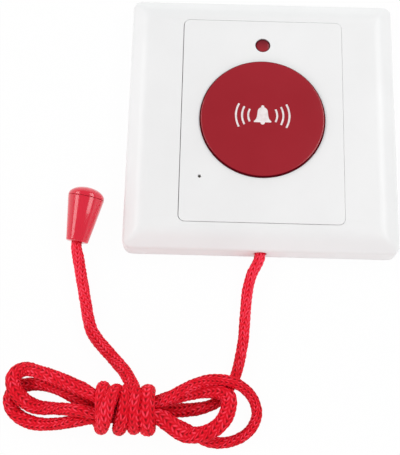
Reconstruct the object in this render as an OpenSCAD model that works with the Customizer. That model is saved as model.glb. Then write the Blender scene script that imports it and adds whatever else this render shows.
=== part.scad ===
// Wall call button with a pull cord: an 86 mm square cover, a round push button
// and a cord hank that ends in a pull knob.
// X runs right, Y towards the top edge, Z out of the front face.
// The origin is the centre of the back face, which lies flat on the table.

/* [Cover] */
// Side of the square cover
plate_w = 86; // [84:0.5:92]
// Height of the front face above the back
plate_t = 9.5; // [9.3:0.1:11]
// Height of the upright side wall
side_h = 5.5; // [5.3:0.1:6]
// Rounding between the side wall and the bevel
edge_r = 1.6; // [1:0.1:1.9]
// Slope of the bevel that runs up to the face
bevel_angle = 32; // [28:1:40]
// Corner radius of the cover seen from the front
corner_r = 3; // [2:0.25:5]
// Thickness of the side walls and bevel
wall = 1.6; // [1.4:0.1:1.9]
// Thickness of the front wall
face_t = 1.8; // [1.6:0.1:2]
// Gap between the back plate and the cover round it
plate_fit = 0.2; // [0.1:0.05:0.4]

/* [Panel] */
// Width of the insert panel
panel_w = 51.5; // [50:0.5:53]
// Height of the insert panel
panel_h = 69.4; // [68:0.2:71]
// Corner radius of the insert panel
panel_corner_r = 2; // [1:0.25:4]
// Groove left round the insert panel
panel_gap = 0.3; // [0.2:0.05:0.5]
// How far the panel's lip reaches behind the cover
panel_lip = 1.5; // [1:0.1:2]
// Thickness of the panel's lip
panel_lip_t = 0.8; // [0.6:0.1:0.9]
// How far the panel stands proud of the cover
panel_proud = 0.12; // [0.05:0.05:0.3]
// Diameter of the pinhole over the pairing switch
pin_hole_d = 1.3; // [1:0.1:2]
// Pinhole and pairing switch, distance left of the centre
pin_left = 19.3; // [18.5:0.1:20]
// Pinhole and pairing switch, distance below the centre
pin_below = 20; // [19:0.25:21]

/* [Button] */
// Diameter of the push button
button_d = 40; // [38:0.25:41]
// Gap between the button and the panel round it
button_gap = 0.25; // [0.15:0.05:0.4]
// How far the button's rim stands proud of the panel
button_proud = 0.9; // [0.6:0.1:1.4]
// Rise of the button's crown from its rim to its middle
button_crown = 0.3; // [0.1:0.05:0.6]
// Rounding of the button's edge
button_edge_r = 0.8; // [0.4:0.1:1.2]
// Wall of the button cap
button_wall = 1.5; // [1.2:0.1:1.8]
// How far the button's flange reaches behind the panel
button_flange = 1.4; // [1:0.1:1.7]
// Thickness of the button's flange
button_flange_t = 0.9; // [0.8:0.05:1]
// Press travel of the button
button_travel = 1; // [0.8:0.05:1.1]
// Distance of the two guide pegs from the button's edge
peg_out = 3.2; // [3:0.1:3.6]
// Diameter of the guide pegs
peg_d = 2; // [1.6:0.1:2.2]
// Diameter of the indicator lamp
led_d = 4.8; // [4.4:0.1:5]
// Indicator lamp, distance above the centre
led_up = 26; // [25.5:0.1:27]

/* [Inside] */
// Thickness of the back plate's floor
floor_t = 1.2; // [1.1:0.05:1.3]
// Height of the bosses under the circuit board
boss_h = 0.8; // [0.7:0.05:0.9]
// Diameter of the bosses under the circuit board
boss_d = 5; // [4:0.1:5.5]
// Thickness of the circuit board
board_t = 1; // [0.9:0.05:1.1]
// Width of the circuit board
board_w = 72; // [71:0.25:74]
// Height of the circuit board
board_h = 72; // [71:0.25:74]
// Side of the square tactile switch bodies
switch_w = 6; // [5.6:0.1:6.4]
// Height of the call switch's body
call_switch_h = 3; // [2.8:0.1:3.2]
// Height of the pairing switch's body
pair_switch_h = 3.2; // [3:0.1:3.3]
// Diameter of the switch plungers
plunger_d = 3.4; // [3:0.1:3.8]
// Press travel of the pairing switch
pair_travel = 0.25; // [0.2:0.05:0.3]
// Diameter of the coin cell
cell_d = 20; // [19:0.25:20.5]
// Thickness of the coin cell
cell_t = 3.2; // [3:0.05:3.25]
// Wall of the cell holder
holder_wall = 1.1; // [0.9:0.1:1.2]
// Mean diameter of the button's return spring
button_spring_d = 12; // [11:0.25:14]
// Wire of the button's return spring
button_spring_wire = 0.6; // [0.4:0.05:0.7]
// Turns of the button's return spring
button_spring_turns = 5; // [4:1:6]

/* [Wall fixing] */
// Distance between the two wall screw slots
screw_spacing = 60.3; // [60:0.1:61]
// Width of a wall screw slot
slot_w = 4.2; // [3.6:0.1:4.6]
// Length of a wall screw slot
slot_l = 8; // [7:0.25:9]

/* [Pull switch] */
// Height of the cord's axis where it leaves the cover
cord_z = 3.4; // [3.3:0.05:3.5]
// Gap between the cord and the hole in the cover
cord_gap = 0.45; // [0.3:0.05:0.6]
// Travel of the pull cord
pull_travel = 3.6; // [3:0.1:3.8]
// Sideways move of the switch plunger for each unit of pull
ramp_slope = 0.25; // [0.2:0.01:0.3]
// Width of the cord slider
slider_w = 10; // [9.5:0.1:10.5]
// Length of the cord slider
slider_l = 7; // [6.6:0.1:7.4]
// Room for the pull spring between the wall and the slider
spring_room = 6.4; // [6.2:0.1:7]
// Wire of the pull spring
pull_spring_wire = 0.5; // [0.35:0.05:0.55]
// Turns of the pull spring
pull_spring_turns = 4; // [3:1:4]

/* [Knob] */
// Largest diameter of the pull knob
knob_d = 11.3; // [10.5:0.1:12]
// Diameter of the knob's narrow end
knob_neck_d = 7; // [6.6:0.1:7.6]
// Length of the knob's tapered body
knob_l = 14; // [13:0.25:15]
// Height of the knob's domed cap
knob_cap_h = 3.5; // [3:0.1:4]
// Groove between the knob's body and its cap
knob_groove = 0.25; // [0.2:0.05:0.35]

/* [Cord] */
// Diameter of the cord where it is drawn tight
cord_d = 3.1; // [2.6:0.05:3.15]
// Distance between neighbouring strands of the hank
strand_pitch = 3.66; // [3.64:0.02:3.7]
// Distance between the turns round the waist of the hank
wrap_pitch = 4.5; // [4.4:0.05:4.6]
// How far the turns slant on the side that shows
wrap_slant = 0.6; // [0.4:0.1:0.8]

/* [Hidden] */
$fn = 64;
eps = 0.01;

// Clearances
slide_gap = 0.1;
stop_gap = 0.1;
touch_gap = 0.05;
solder_gap = 0.15;

// Levels from the back face to the front
board_z = floor_t + boss_h;
board_top = board_z + board_t;
ceiling_z = plate_t - face_t;
panel_back = ceiling_z - panel_lip_t;
panel_front = plate_t + panel_proud;
rim_z = panel_front + button_proud;
button_ceiling = rim_z - button_wall;
flange_top = panel_back - stop_gap;
flange_bottom = flange_top - button_flange_t;

// Cover profile: upright wall, rounding, bevel, face
bevel_rise = plate_t - side_h - edge_r * cos(bevel_angle);
bevel_w = edge_r * (1 - sin(bevel_angle)) + bevel_rise / tan(bevel_angle);
inner_w = plate_w - 2 * wall;
inner_side_h = plate_t - (bevel_w - wall) * tan(bevel_angle) - wall / cos(bevel_angle);
inner_corner_r = max(corner_r - wall, 0.5);
back_w = inner_w - 2 * plate_fit;
back_corner_r = max(inner_corner_r - plate_fit, 0.3);

// Snap tabs between the back plate and the cover
tab_w = 8;
tab_t = 1.2;
tab_h = 4.2;
tab_inset = 0.3;
barb_out = 0.8;
barb_h = 1;
barb_gap = 0.15;
tab_x = 24;
tab_places = [[tab_x, 0], [-tab_x, 0], [tab_x, 180], [-tab_x, 180]];

// Circuit board layout
board_corner_r = 2;
board_screws_at = [[33, 9.5], [-33, 9.5], [33, -32], [-33, -32]];
board_pads_at = [[-22, 32.5], [6, 32.5]];
screw_d = 1.9;
screw_hole_gap = 0.1;
screw_head_d = 3.8;
screw_head_h = 1.2;
screw_tip = 0.7;
screw_room_w = 11.4;
screw_room_h = 10;
chip_at = [-16, 27];
crystal_at = [-30, -11];
cell_at = [24.5, 24];
antenna_at = [-32.2, 14.5];
lead_d = 0.5;
lead_gap = 0.15;
lead_out = 0.6;

// Cord slider, from the bottom wall inwards
slider_front = -inner_w / 2 + spring_room;
slider_back = slider_front + slider_l;
channel_floor = 0.5;
knot_r = 2.6;
slider_top = cord_z + knot_r;
slider_bottom = channel_floor + 2 * slide_gap;
rail_h = 2.6;
rail_t = 1.2;
rail_x = slider_w / 2 + 2 * slide_gap + rail_t / 2;
stop_x = slider_w / 2 + slide_gap - rail_t / 2;
ramp_bottom = rail_h + 0.6;
nose_r = 1;
nose_z = board_top + 1.8;
nose_y = slider_front + 4;
ramp_x = slider_w / 2 + ramp_slope * (nose_y - slider_front);
nose_x = ramp_x + (nose_r + touch_gap) * sqrt(1 + ramp_slope * ramp_slope);
pull_switch_x = nose_x + 1.8;
pull_switch_h = 3.4;
plunger_inside = 3.2;
knot_l = 3.4;
board_cut_w = slider_w + 4;
board_cut_top = slider_back + knot_l + 2;

// Knob lying on its side on the table
knob_turn = 9.3;
knob_lean = atan((knob_d - knob_neck_d) / 2 / knob_l);
knob_at = [-57.2, -40.6, knob_neck_d / 2 * cos(knob_lean) + 0.03];
knob_axis = [
    sin(knob_turn) * cos(knob_lean),
    cos(knob_turn) * cos(knob_lean),
    sin(knob_lean)
];
knob_bore_d = cord_d + 0.5;
knob_bore_l = 4;
knob_room_d = 6.4;
knob_plug_l = 2.5;
knob_knot_r = 2.6;
knob_knot_l = 4;

// Cord: the stretch from the slider to the hank, on hand-chosen points
cord_r = cord_d / 2;
lay_z = cord_r + 0.05;
lead_points = [
    [0, slider_back, cord_z],
    [0, slider_front, cord_z],
    [0, -inner_w / 2, cord_z],
    [0, -plate_w / 2, cord_z],
    [0, -45, cord_z],
    [-0.8, -47, 3.3],
    [-1.9, -49, 3.1],
    [-2.9, -51.3, 2.8],
    [-3.6, -54, 2.3],
    [-4.1, -57.6, 1.8],
    [-4.4, -62, lay_z],
    [-4.7, -67, lay_z],
    [-4.9, -70, lay_z],
    [-5.3, -72.3, lay_z],
    [-5.7, -74.7, lay_z]
];

// Hank: five strands on a ring at the waist, held by turns of the same cord.
// Strand places are counted round the ring from the bottom one.
hank_at = [-39.1, -92.3, 0];
core_r = strand_pitch / 2 / sin(36);
wrap_r = core_r + strand_pitch;
waist_z = wrap_r + lay_z;
waist_left = 9.5;
waist_right = 9.2;
over_z = lay_z + strand_pitch;
leg_steps = 6;
arc_steps = 12;
run_steps = 6;
wrap_start_x = -9.75;
wrap_start_angle = 30;
wrap_end_angle = 900;
wrap_step = 15;
wrap_end_x = wrap_start_x + wrap_pitch * wrap_end_angle / 360 + wrap_slant;
first_turn_x = 5.9;
first_turn_lead = 1.4;
first_turn_end = 285;
// Each loop: side, strand in, strand out, start, end and reach of the bend, strand out
// to the bend, strand back from it, their heights before, at and after the bend, how
// late each strand sinks from the waist, and how late it fans out
hank_loops = [
    [-1, 0, 4, 25, 25, 10.3, 7.2, -4.4, lay_z, lay_z, lay_z, 2.8, 1.6, 1.25, 1.25],
    [1, 4, 2, 27, 27, 11.5, -8.4, 9.6, lay_z, lay_z, 6.7, 0.22, 1.5, 2.8, 1.25],
    [-1, 2, 3, 30, 25, 6.1, 11.2, 0.3, 5.3, over_z + 0.15, 3, 5, 2, 0.5, 1],
    [1, 3, 1, 19, 25, 7.5, -7.6, 6.1, over_z + 0.4, over_z + 0.4, 5, 1.6, 0.8, 1.5, 1.25]
];
// From the lead under the right-hand loops, once round the waist, and into it
hank_entry = concat(
    [
        [33.4, 17.6, lay_z],
        [33, 15.2, lay_z],
        [32, 11.5, lay_z],
        [29.8, 7.2, lay_z],
        [26.6, 3.4, lay_z],
        [22, 1.2, lay_z],
        [17, 0.4, lay_z],
        [12.5, 0.2, lay_z],
        [9.6, 0, lay_z],
        [8, -0.5, lay_z],
        [6.7, -1.7, 1.75]
    ],
    [
        for (a = [wrap_start_angle : wrap_step : first_turn_end])
        let (s = (a - wrap_start_angle) / (first_turn_end - wrap_start_angle))
            turn_point(first_turn_x + first_turn_lead * s, a)
    ],
    [
        [7, 6.3, 5],
        [6.3, 5.6, 3.9],
        [5.2, 4.5, 3.5],
        [3.9, 3.1, 3.6],
        [2.4, 1.6, 4],
        [0.8, 0.5, 4.8],
        [-1, 0.05, waist_z - core_r],
        [-5, 0, waist_z - core_r]
    ]
);
// From the last strand, round behind the others, to the turns
wrap_entry = [
    [-8.4, 3, 7.4],
    [-9.9, 3.5, 7.25],
    [-11.1, 4.75, 6.4],
    [-11.7, 5.5, 4.65],
    [-11.8, 5.1, 2.9],
    [-11.9, 3.4, 1.8],
    [-11.9, 0.6, lay_z],
    [-11.5, -1.4, lay_z]
];
// From the top of the last turn, back and down to the table
wrap_exit = [
    [wrap_end_x + 0.2, 1.8, 14.95],
    [wrap_end_x + 0.3, 3.7, 14.1],
    [wrap_end_x + 0.3, 5.6, 12.8],
    [wrap_end_x, 7.5, 11],
    [1.3, 9.4, 8.7],
    [0.1, 11.2, 6.5],
    [-1.5, 13, 4.5],
    [-3.5, 15, 2.8],
    [-5.7, 17.2, 1.85],
    [-8.1, 19.6, lay_z],
    [-10.1, 22, lay_z],
    [-11.6, 24.4, lay_z],
    [-12.5, 26.6, lay_z]
];
// From the hank to the knob
tail_points = [
    [-51.6, -65.7, lay_z],
    [-52.5, -63.1, lay_z],
    [-53.8, -58, lay_z],
    [-54.9, -53.2, lay_z],
    [-55.8, -49.5, 1.8],
    [-56.6, -46.4, 2.2],
    [-57.25, -44, 2.75],
    knob_at - 0.5 * cord_d * knob_axis,
    knob_at,
    knob_at + knob_bore_l * knob_axis
];

// Sweep of a round cord along points: a side vector is carried from ring to ring
function unit(v) = v / norm(v);
function heading(p, i) = unit(p[min(i + 1, len(p) - 1)] - p[max(i - 1, 0)]);
function square_to(u, t) = unit(u - (u * t) * t);
function side_vectors(p) = [
    for (i = 0, u = square_to([0.3, 0.2, 1], heading(p, 0));
         i < len(p);
         i = i + 1, u = square_to(u, heading(p, min(i, len(p) - 1))))
        u
];
function ring_points(p, r, n) =
    let (u = side_vectors(p))
    [
        for (i = [0 : len(p) - 1])
        let (t = heading(p, i), v = cross(t, u[i]))
        for (k = [0 : n - 1])
            p[i] + r * (cos(360 * k / n) * u[i] + sin(360 * k / n) * v)
    ];
function tube_faces(rings, n) = concat(
    [
        for (i = [0 : rings - 2], k = [0 : n - 1])
        let (a = i * n + k, b = i * n + (k + 1) % n)
        each [[a, a + n, b + n], [a, b + n, b]]
    ],
    [for (k = [1 : n - 2]) [0, k, k + 1]],
    [for (k = [1 : n - 2]) let (o = (rings - 1) * n) [o, o + k + 1, o + k]]
);
module tube(p, r, n) {
    polyhedron(points = ring_points(p, r, n), faces = tube_faces(len(p), n));
}

// Helical spring along Z between two levels, with both ends in the end planes
function helix(r, z0, z1, turns, steps) = [
    for (i = [0 : turns * steps])
        [r * cos(360 * i / steps), r * sin(360 * i / steps), z0 + (z1 - z0) * i / (turns * steps)]
];

// Strands, bends and turns of the hank
function strand(k) = [core_r * sin(72 * k), waist_z - core_r * cos(72 * k)];
function ease(s) = (1 - cos(180 * s)) / 2;
function leg_point(foot, top, late, fan, s) =
    let (f = pow(sin(90 * s), fan))
    [
        foot[0] + (top[0] - foot[0]) * s,
        foot[1] + (top[1] - foot[1]) * f,
        foot[2] + (top[2] - foot[2]) * pow(f, late)
    ];
function bend_z(a, tip, b, s) =
    s < 0.5 ? a + (tip - a) * ease(2 * s) : tip + (b - tip) * ease(2 * s - 1);
function loop_points(l) =
    let (
        side = l[0],
        waist = side < 0 ? waist_left : waist_right,
        other = side < 0 ? waist_right : waist_left,
        from = [side * waist, strand(l[1])[0], strand(l[1])[1]],
        to = [side * waist, strand(l[2])[0], strand(l[2])[1]],
        out = [side * l[3], l[6], l[8]],
        back = [side * l[4], l[7], l[10]],
        across = [-side * other, to[1], to[2]]
    )
    concat(
        [for (i = [0 : leg_steps - 1]) leg_point(from, out, l[11], l[13], i / leg_steps)],
        [
            for (i = [0 : arc_steps - 1])
            let (s = i / arc_steps)
                [
                    side * (l[3] + (l[4] - l[3]) * ease(s) + l[5] * sin(180 * s)),
                    (l[6] + l[7]) / 2 + (l[6] - l[7]) / 2 * cos(180 * s),
                    bend_z(l[8], l[9], l[10], s)
                ]
        ],
        [for (i = [0 : leg_steps - 1]) leg_point(to, back, l[12], l[14], 1 - i / leg_steps)],
        [for (i = [0 : run_steps - 1]) to + (across - to) * i / run_steps]
    );
function turn_point(x, a) = [x, -wrap_r * sin(a), waist_z - wrap_r * cos(a)];
function wrap_points() = [
    for (a = [wrap_start_angle : wrap_step : wrap_end_angle])
        turn_point(wrap_start_x + wrap_pitch * a / 360 - wrap_slant * cos(a), a)
];
hank_points = [
    for (p = concat(
        hank_entry,
        [for (l = hank_loops) each loop_points(l)],
        wrap_entry,
        wrap_points(),
        wrap_exit
    )) p + hank_at
];

// Least gap between stretches of the hank that are over three diameters apart along it
function lengths_to(p) = [
    for (i = 0, s = 0; i < len(p); i = i + 1, s = s + (i < len(p) ? norm(p[i] - p[i - 1]) : 0))
        s
];
function to_stretch(q, a, b) =
    let (ab = b - a, s = max(0, min(1, (q - a) * ab / (ab * ab))))
    norm(q - a - s * ab);
hank_s = lengths_to(hank_points);
hank_n = len(hank_points);
hank_gap = min([
    for (i = [0 : hank_n - 2], j = [0 : hank_n - 2])
        if (abs(hank_s[j] - hank_s[i]) > 3 * cord_d)
            min(
                to_stretch(hank_points[i], hank_points[j], hank_points[j + 1]),
                to_stretch((hank_points[i] + hank_points[i + 1]) / 2, hank_points[j], hank_points[j + 1])
            ) - cord_d
]);
echo(str("Least gap of the hank to itself: ", hank_gap, " mm"));
echo(str("Cord in the hank: ", hank_s[hank_n - 1], " mm"));
echo(str("Cord in the lead: ", lengths_to(lead_points)[len(lead_points) - 1], " mm"));
echo(str("Cord in the tail: ", lengths_to(tail_points)[len(tail_points) - 1], " mm"));

// Shared shapes
module rounded_rect(w, h, r) {
    square([w - 2 * r, h], center = true);
    square([w, h - 2 * r], center = true);
    for (x = [-1, 1], y = [-1, 1])
        translate([x * (w / 2 - r), y * (h / 2 - r)])
            circle(r);
}

module slab(w, h, r, z0, z1) {
    translate([0, 0, z0])
        linear_extrude(z1 - z0)
            rounded_rect(w, h, r);
}

// Half profile of a bevelled cover, mirrored to the full one
function half_profile(w, t, h, r) =
    let (top_in = (t - h - r * cos(bevel_angle)) / tan(bevel_angle) + r * (1 - sin(bevel_angle)))
    concat(
        [[w / 2, 0]],
        r > 0
            ? [for (a = [0 : (90 - bevel_angle) / 8 : 90 - bevel_angle + eps])
                [w / 2 - r + r * cos(a), h + r * sin(a)]]
            : [[w / 2, h]],
        [[w / 2 - top_in, t]]
    );
function full_profile(w, t, h, r) =
    let (p = half_profile(w, t, h, r), n = len(p))
    concat(p, [for (i = [n - 1 : -1 : 0]) [-p[i][0], p[i][1]]]);

// Square form with mitred bevels and upright rounded corners
module bevelled_form(w, t, h, r, corner) {
    intersection() {
        translate([0, w / 2, 0])
            rotate([90, 0, 0])
                linear_extrude(w)
                    polygon(full_profile(w, t, h, r));
        rotate([0, 0, 90])
            translate([0, w / 2, 0])
                rotate([90, 0, 0])
                    linear_extrude(w)
                        polygon(full_profile(w, t, h, r));
        slab(w, w, corner, 0, t);
    }
}

module along_y(y) {
    translate([0, y, cord_z])
        rotate([-90, 0, 0])
            children();
}

module on_knob_axis() {
    translate(knob_at)
        rotate([0, 0, -knob_turn])
            rotate([knob_lean - 90, 0, 0])
                children();
}

// Snap tab barb, from its root on the tab to its tip in the cover's wall
module barb(out, z0, z1, w) {
    translate([-w / 2, back_w / 2 - tab_inset - eps, z0])
        cube([w, out + eps, z1 - z0]);
}

module front_cover() {
    color("#f2f1ee")
        difference() {
            bevelled_form(plate_w, plate_t, side_h, edge_r, corner_r);
            translate([0, 0, -eps])
                bevelled_form(inner_w, ceiling_z + eps, inner_side_h + eps, 0, inner_corner_r);
            slab(panel_w + 2 * panel_gap, panel_h + 2 * panel_gap, panel_corner_r + panel_gap,
                ceiling_z - 1, plate_t + 1);
            for (p = tab_places)
                rotate([0, 0, p[1]])
                    translate([p[0], 0, 0])
                        barb(
                            barb_out + barb_gap, tab_h - barb_h - barb_gap,
                            tab_h + barb_gap, tab_w + 2 * barb_gap);
            along_y(-plate_w / 2 - 1)
                cylinder(d = cord_d + 2 * cord_gap, h = wall + 2);
        }
}

module back_plate() {
    color("#e6e5e1")
        difference() {
            union() {
                slab(back_w, back_w, back_corner_r, 0, floor_t);
                for (p = concat(board_screws_at, board_pads_at))
                    translate([p[0], p[1], floor_t - eps])
                        cylinder(d = boss_d, h = boss_h + eps);
                for (p = tab_places)
                    rotate([0, 0, p[1]])
                        translate([p[0], 0, 0]) {
                            translate([-tab_w / 2, back_w / 2 - tab_inset - tab_t, floor_t - eps])
                                cube([tab_w, tab_t, tab_h - floor_t + eps]);
                            barb(barb_out, tab_h - barb_h, tab_h, tab_w);
                        }
                for (x = [-1, 1]) {
                    translate([x * rail_x - rail_t / 2, slider_front - pull_travel, floor_t - eps])
                        cube([rail_t, slider_l + pull_travel + stop_gap + rail_t, rail_h - floor_t + eps]);
                    translate([x * stop_x - rail_t, slider_back + stop_gap, channel_floor])
                        cube([2 * rail_t, rail_t, rail_h - channel_floor]);
                }
            }
            translate([-slider_w / 2 - 2 * slide_gap, -back_w / 2 - eps, channel_floor])
                cube([slider_w + 4 * slide_gap, back_w / 2 + slider_back + stop_gap + eps, floor_t]);
            translate([-knot_r - 0.4, slider_back - eps, channel_floor])
                cube([2 * knot_r + 0.8, knot_l + 1, floor_t]);
            for (x = [-1, 1])
                translate([x * screw_spacing / 2, 0, -1]) {
                    translate([-(slot_l - slot_w) / 2, -slot_w / 2, 0])
                        cube([slot_l - slot_w, slot_w, floor_t + 2]);
                    for (e = [-1, 1])
                        translate([e * (slot_l - slot_w) / 2, 0, 0])
                            cylinder(d = slot_w, h = floor_t + 2);
                }
            for (p = board_screws_at)
                translate([p[0], p[1], screw_tip - screw_hole_gap])
                    cylinder(d = screw_d + 2 * screw_hole_gap, h = board_top);
        }
}

module insert_panel() {
    color("#f4f3f0")
        difference() {
            union() {
                slab(panel_w, panel_h, panel_corner_r, panel_back, panel_front);
                slab(panel_w + 2 * panel_lip, panel_h + 2 * panel_lip, panel_corner_r + panel_lip,
                    panel_back, ceiling_z);
                for (x = [-1, 1])
                    translate([x * (button_d / 2 + peg_out), 0, flange_bottom - button_travel - 0.6])
                        cylinder(d = peg_d, h = panel_back - flange_bottom + button_travel + 0.6 + eps);
            }
            translate([0, 0, panel_back - 1])
                cylinder(d = button_d + 2 * button_gap, h = panel_front, $fn = 128);
            translate([0, led_up, panel_back - 1])
                cylinder(d = led_d + 2 * slide_gap, h = panel_front);
            translate([-pin_left, -pin_below, panel_back - 1])
                cylinder(d = pin_hole_d, h = panel_front, $fn = 32);
        }
}

// Outline of the button's cap: skirt, rounded edge and low crown
function button_profile() = concat(
    [[button_d / 2, flange_bottom]],
    [for (a = [0 : 15 : 90])
        [button_d / 2 - button_edge_r * (1 - cos(a)), rim_z - button_edge_r * (1 - sin(a))]],
    [for (s = [0.8 : -0.2 : 0])
        [(button_d / 2 - button_edge_r) * s, rim_z + button_crown * (1 - s * s)]],
    [
        [0, button_ceiling],
        [button_d / 2 - button_wall, button_ceiling],
        [button_d / 2 - button_wall, flange_bottom]
    ]
);

module push_button() {
    ear_w = peg_d + 3;
    color("#8f1724") {
        difference() {
            union() {
                rotate_extrude($fn = 128)
                    polygon(button_profile());
                translate([0, 0, flange_bottom])
                    difference() {
                        union() {
                            cylinder(r = button_d / 2 + button_flange, h = button_flange_t, $fn = 128);
                            for (a = [0, 180])
                                rotate([0, 0, a])
                                    translate([button_d / 2, -ear_w / 2, 0])
                                        cube([peg_out + ear_w / 2, ear_w, button_flange_t]);
                        }
                        translate([0, 0, -1])
                            cylinder(r = button_d / 2 - button_wall, h = button_flange_t + 2, $fn = 128);
                    }
                translate([0, 0, call_plunger_top + touch_gap])
                    cylinder(d = plunger_d + 2, h = button_ceiling - call_plunger_top);
            }
            for (x = [-1, 1])
                translate([x * (button_d / 2 + peg_out), 0, flange_bottom - 1])
                    cylinder(d = peg_d + 4 * slide_gap, h = button_flange_t + 2);
        }
    }
}

// Square switch body with a round well for its plunger
module switch_body(h, well_floor) {
    difference() {
        translate([-switch_w / 2, -switch_w / 2, 0])
            cube([switch_w, switch_w, h]);
        translate([0, 0, well_floor])
            cylinder(d = plunger_d + 2 * slide_gap, h = h);
    }
}

call_plunger_top = board_top + call_switch_h + button_travel + 0.3;
call_plunger_l = call_switch_h - 0.4;

module call_switch_body() {
    color("#2b2b2d")
        translate([0, 0, board_top])
            switch_body(call_switch_h, 0.3);
}

module call_switch_plunger() {
    color("#d9d6cc")
        translate([0, 0, call_plunger_top - call_plunger_l])
            cylinder(d = plunger_d, h = call_plunger_l);
}

module pair_switch_body() {
    color("#2b2b2d")
        translate([-pin_left, -pin_below, board_top])
            switch_body(pair_switch_h, 1);
}

module pair_switch_stem() {
    color("#b08d5b")
        translate([-pin_left, -pin_below, board_top + 1 + pair_travel + slide_gap])
            cylinder(d = plunger_d, h = panel_back - stop_gap - board_top - 1 - pair_travel - slide_gap);
}

module button_spring() {
    color("#c9ccd0")
        tube(
            helix(button_spring_d / 2, board_top + button_spring_wire / 2 + touch_gap,
                button_ceiling - button_spring_wire / 2 - touch_gap, button_spring_turns, 12),
            button_spring_wire / 2, 6);
}

module indicator_led() {
    dome_h = 1.6;
    dome_z = panel_front - 0.2 - dome_h;
    r = led_d / 2;
    base_h = 0.8;
    color("#7d1a28") {
        translate([0, led_up, board_top])
            rotate_extrude()
                polygon(concat(
                    [[0, 0], [r + 0.4, 0], [r + 0.4, base_h], [r, base_h]],
                    [for (a = [0 : 10 : 90]) [r * cos(a), dome_z - board_top + dome_h * sin(a)]]));
        for (x = [-1.27, 1.27])
            translate([x, led_up, board_z - lead_out])
                cylinder(d = lead_d, h = board_t + lead_out + base_h / 2);
    }
}

module circuit_board() {
    color("#2f6b45")
        difference() {
            slab(board_w, board_h, board_corner_r, board_z, board_top);
            translate([-board_cut_w / 2, -board_h, 0])
                cube([board_cut_w, board_h + board_cut_top, plate_t]);
            for (a = [0, 180])
                rotate([0, 0, a])
                    translate([screw_spacing / 2 - screw_room_w / 2, -screw_room_h / 2, 0])
                        cube([board_w, screw_room_h, plate_t]);
            for (p = board_screws_at)
                translate([p[0], p[1], 0])
                    cylinder(d = screw_d + 4 * screw_hole_gap, h = plate_t);
            for (x = [-1.27, 1.27])
                translate([x, led_up, 0])
                    cylinder(d = lead_d + 2 * lead_gap, h = plate_t);
        }
}

module encoder_chip() {
    body = [9.9, 3.9, 1.4];
    legs = 8;
    leg_pitch = 1.27;
    stand = 0.2;
    color("#1d1d1f")
        translate([chip_at[0], chip_at[1], board_top]) {
            translate([-body[0] / 2, -body[1] / 2, stand])
                cube(body);
            for (i = [0 : legs - 1], y = [-1, 1])
                translate([(i - (legs - 1) / 2) * leg_pitch - 0.2, y * (body[1] / 2 + 0.3) - 0.5, 0])
                    cube([0.4, 1, 0.5]);
        }
}

module radio_crystal() {
    l = 10.2;
    w = 4.4;
    base_h = 0.5;
    can_h = 3;
    color("#b9bcc0")
        translate([crystal_at[0], crystal_at[1], board_top]) {
            slab(l + 0.6, w + 0.6, w / 2 + 0.2, 0, base_h);
            slab(l, w, w / 2 - 0.05, base_h - eps, base_h + can_h);
        }
}

module antenna_coil() {
    r = 1.5;
    wire = 0.7;
    turns = 7;
    pitch = 2.4;
    steps = 10;
    z = board_top + r + wire;
    end_y = turns * pitch;
    step_y = 1.5 * wire;
    coil = [
        for (i = [0 : turns * steps])
            [-r * cos(360 * i / steps), pitch * i / steps, z - r * sin(360 * i / steps)]
    ];
    path = concat(
        [[-r, -step_y, board_top], [-r, -step_y, board_top + wire], [-r, -wire, z - wire]],
        coil,
        [
            [-r, end_y + wire, z - wire],
            [-r, end_y + step_y, board_top + wire],
            [-r, end_y + step_y, board_top]
        ]
    );
    color("#b87333")
        translate([antenna_at[0], antenna_at[1], 0])
            tube(path, wire / 2, 6);
}

holder_floor = 0.3;
cell_z = board_top + holder_floor;

module battery_holder() {
    r = cell_d / 2 + 2 * slide_gap;
    mouth = 14;
    color("#232325")
        translate([cell_at[0], cell_at[1], board_top])
            difference() {
                cylinder(r = r + holder_wall, h = holder_floor + cell_t - 0.4, $fn = 96);
                translate([0, 0, holder_floor])
                    cylinder(r = r, h = cell_t + 1, $fn = 96);
                translate([-mouth / 2, -r - holder_wall - 1, holder_floor])
                    cube([mouth, holder_wall + 3, cell_t + 1]);
            }
}

module coin_cell() {
    rim = 0.6;
    color("#cfd1d4")
        translate([cell_at[0], cell_at[1], cell_z]) {
            cylinder(d = cell_d - 2 * rim, h = cell_t / 3, $fn = 96);
            translate([0, 0, cell_t / 3 - eps])
                cylinder(d = cell_d, h = cell_t * 2 / 3 + eps, $fn = 96);
        }
}

module battery_contact() {
    strip_w = 4;
    strip_t = 0.15;
    reach = cell_d / 2 + holder_wall + 1.2;
    color("#d8c27a")
        translate([cell_at[0], cell_at[1], 0]) {
            translate([-reach, -strip_w / 2, cell_z + cell_t])
                cube([reach + 3, strip_w, strip_t]);
            translate([-reach, -strip_w / 2, board_top])
                cube([strip_t * 2, strip_w, holder_floor + cell_t + strip_t]);
        }
}

module board_screws() {
    color("#c4c7ca")
        for (p = board_screws_at)
            translate([p[0], p[1], 0]) {
                translate([0, 0, board_top])
                    difference() {
                        cylinder(d = screw_head_d, h = screw_head_h);
                        for (a = [0, 90])
                            rotate([0, 0, a])
                                translate([-1, -0.25, screw_head_h - 0.6])
                                    cube([2, 0.5, 1]);
                    }
                translate([0, 0, screw_tip])
                    cylinder(d = screw_d, h = board_top - screw_tip + eps);
            }
}

module cord_slider() {
    color("#ece9e0")
        difference() {
            union() {
                translate([-slider_w / 2, slider_front, slider_bottom])
                    cube([slider_w, slider_l, slider_top - slider_bottom]);
                translate([0, 0, ramp_bottom])
                    linear_extrude(slider_top - ramp_bottom)
                        polygon([
                            [0, slider_front],
                            [slider_w / 2, slider_front],
                            [slider_w / 2 + ramp_slope * slider_l, slider_back],
                            [0, slider_back]
                        ]);
            }
            along_y(slider_front - 1)
                cylinder(d = cord_d + 2 * slide_gap, h = slider_l + 2);
        }
}

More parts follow.
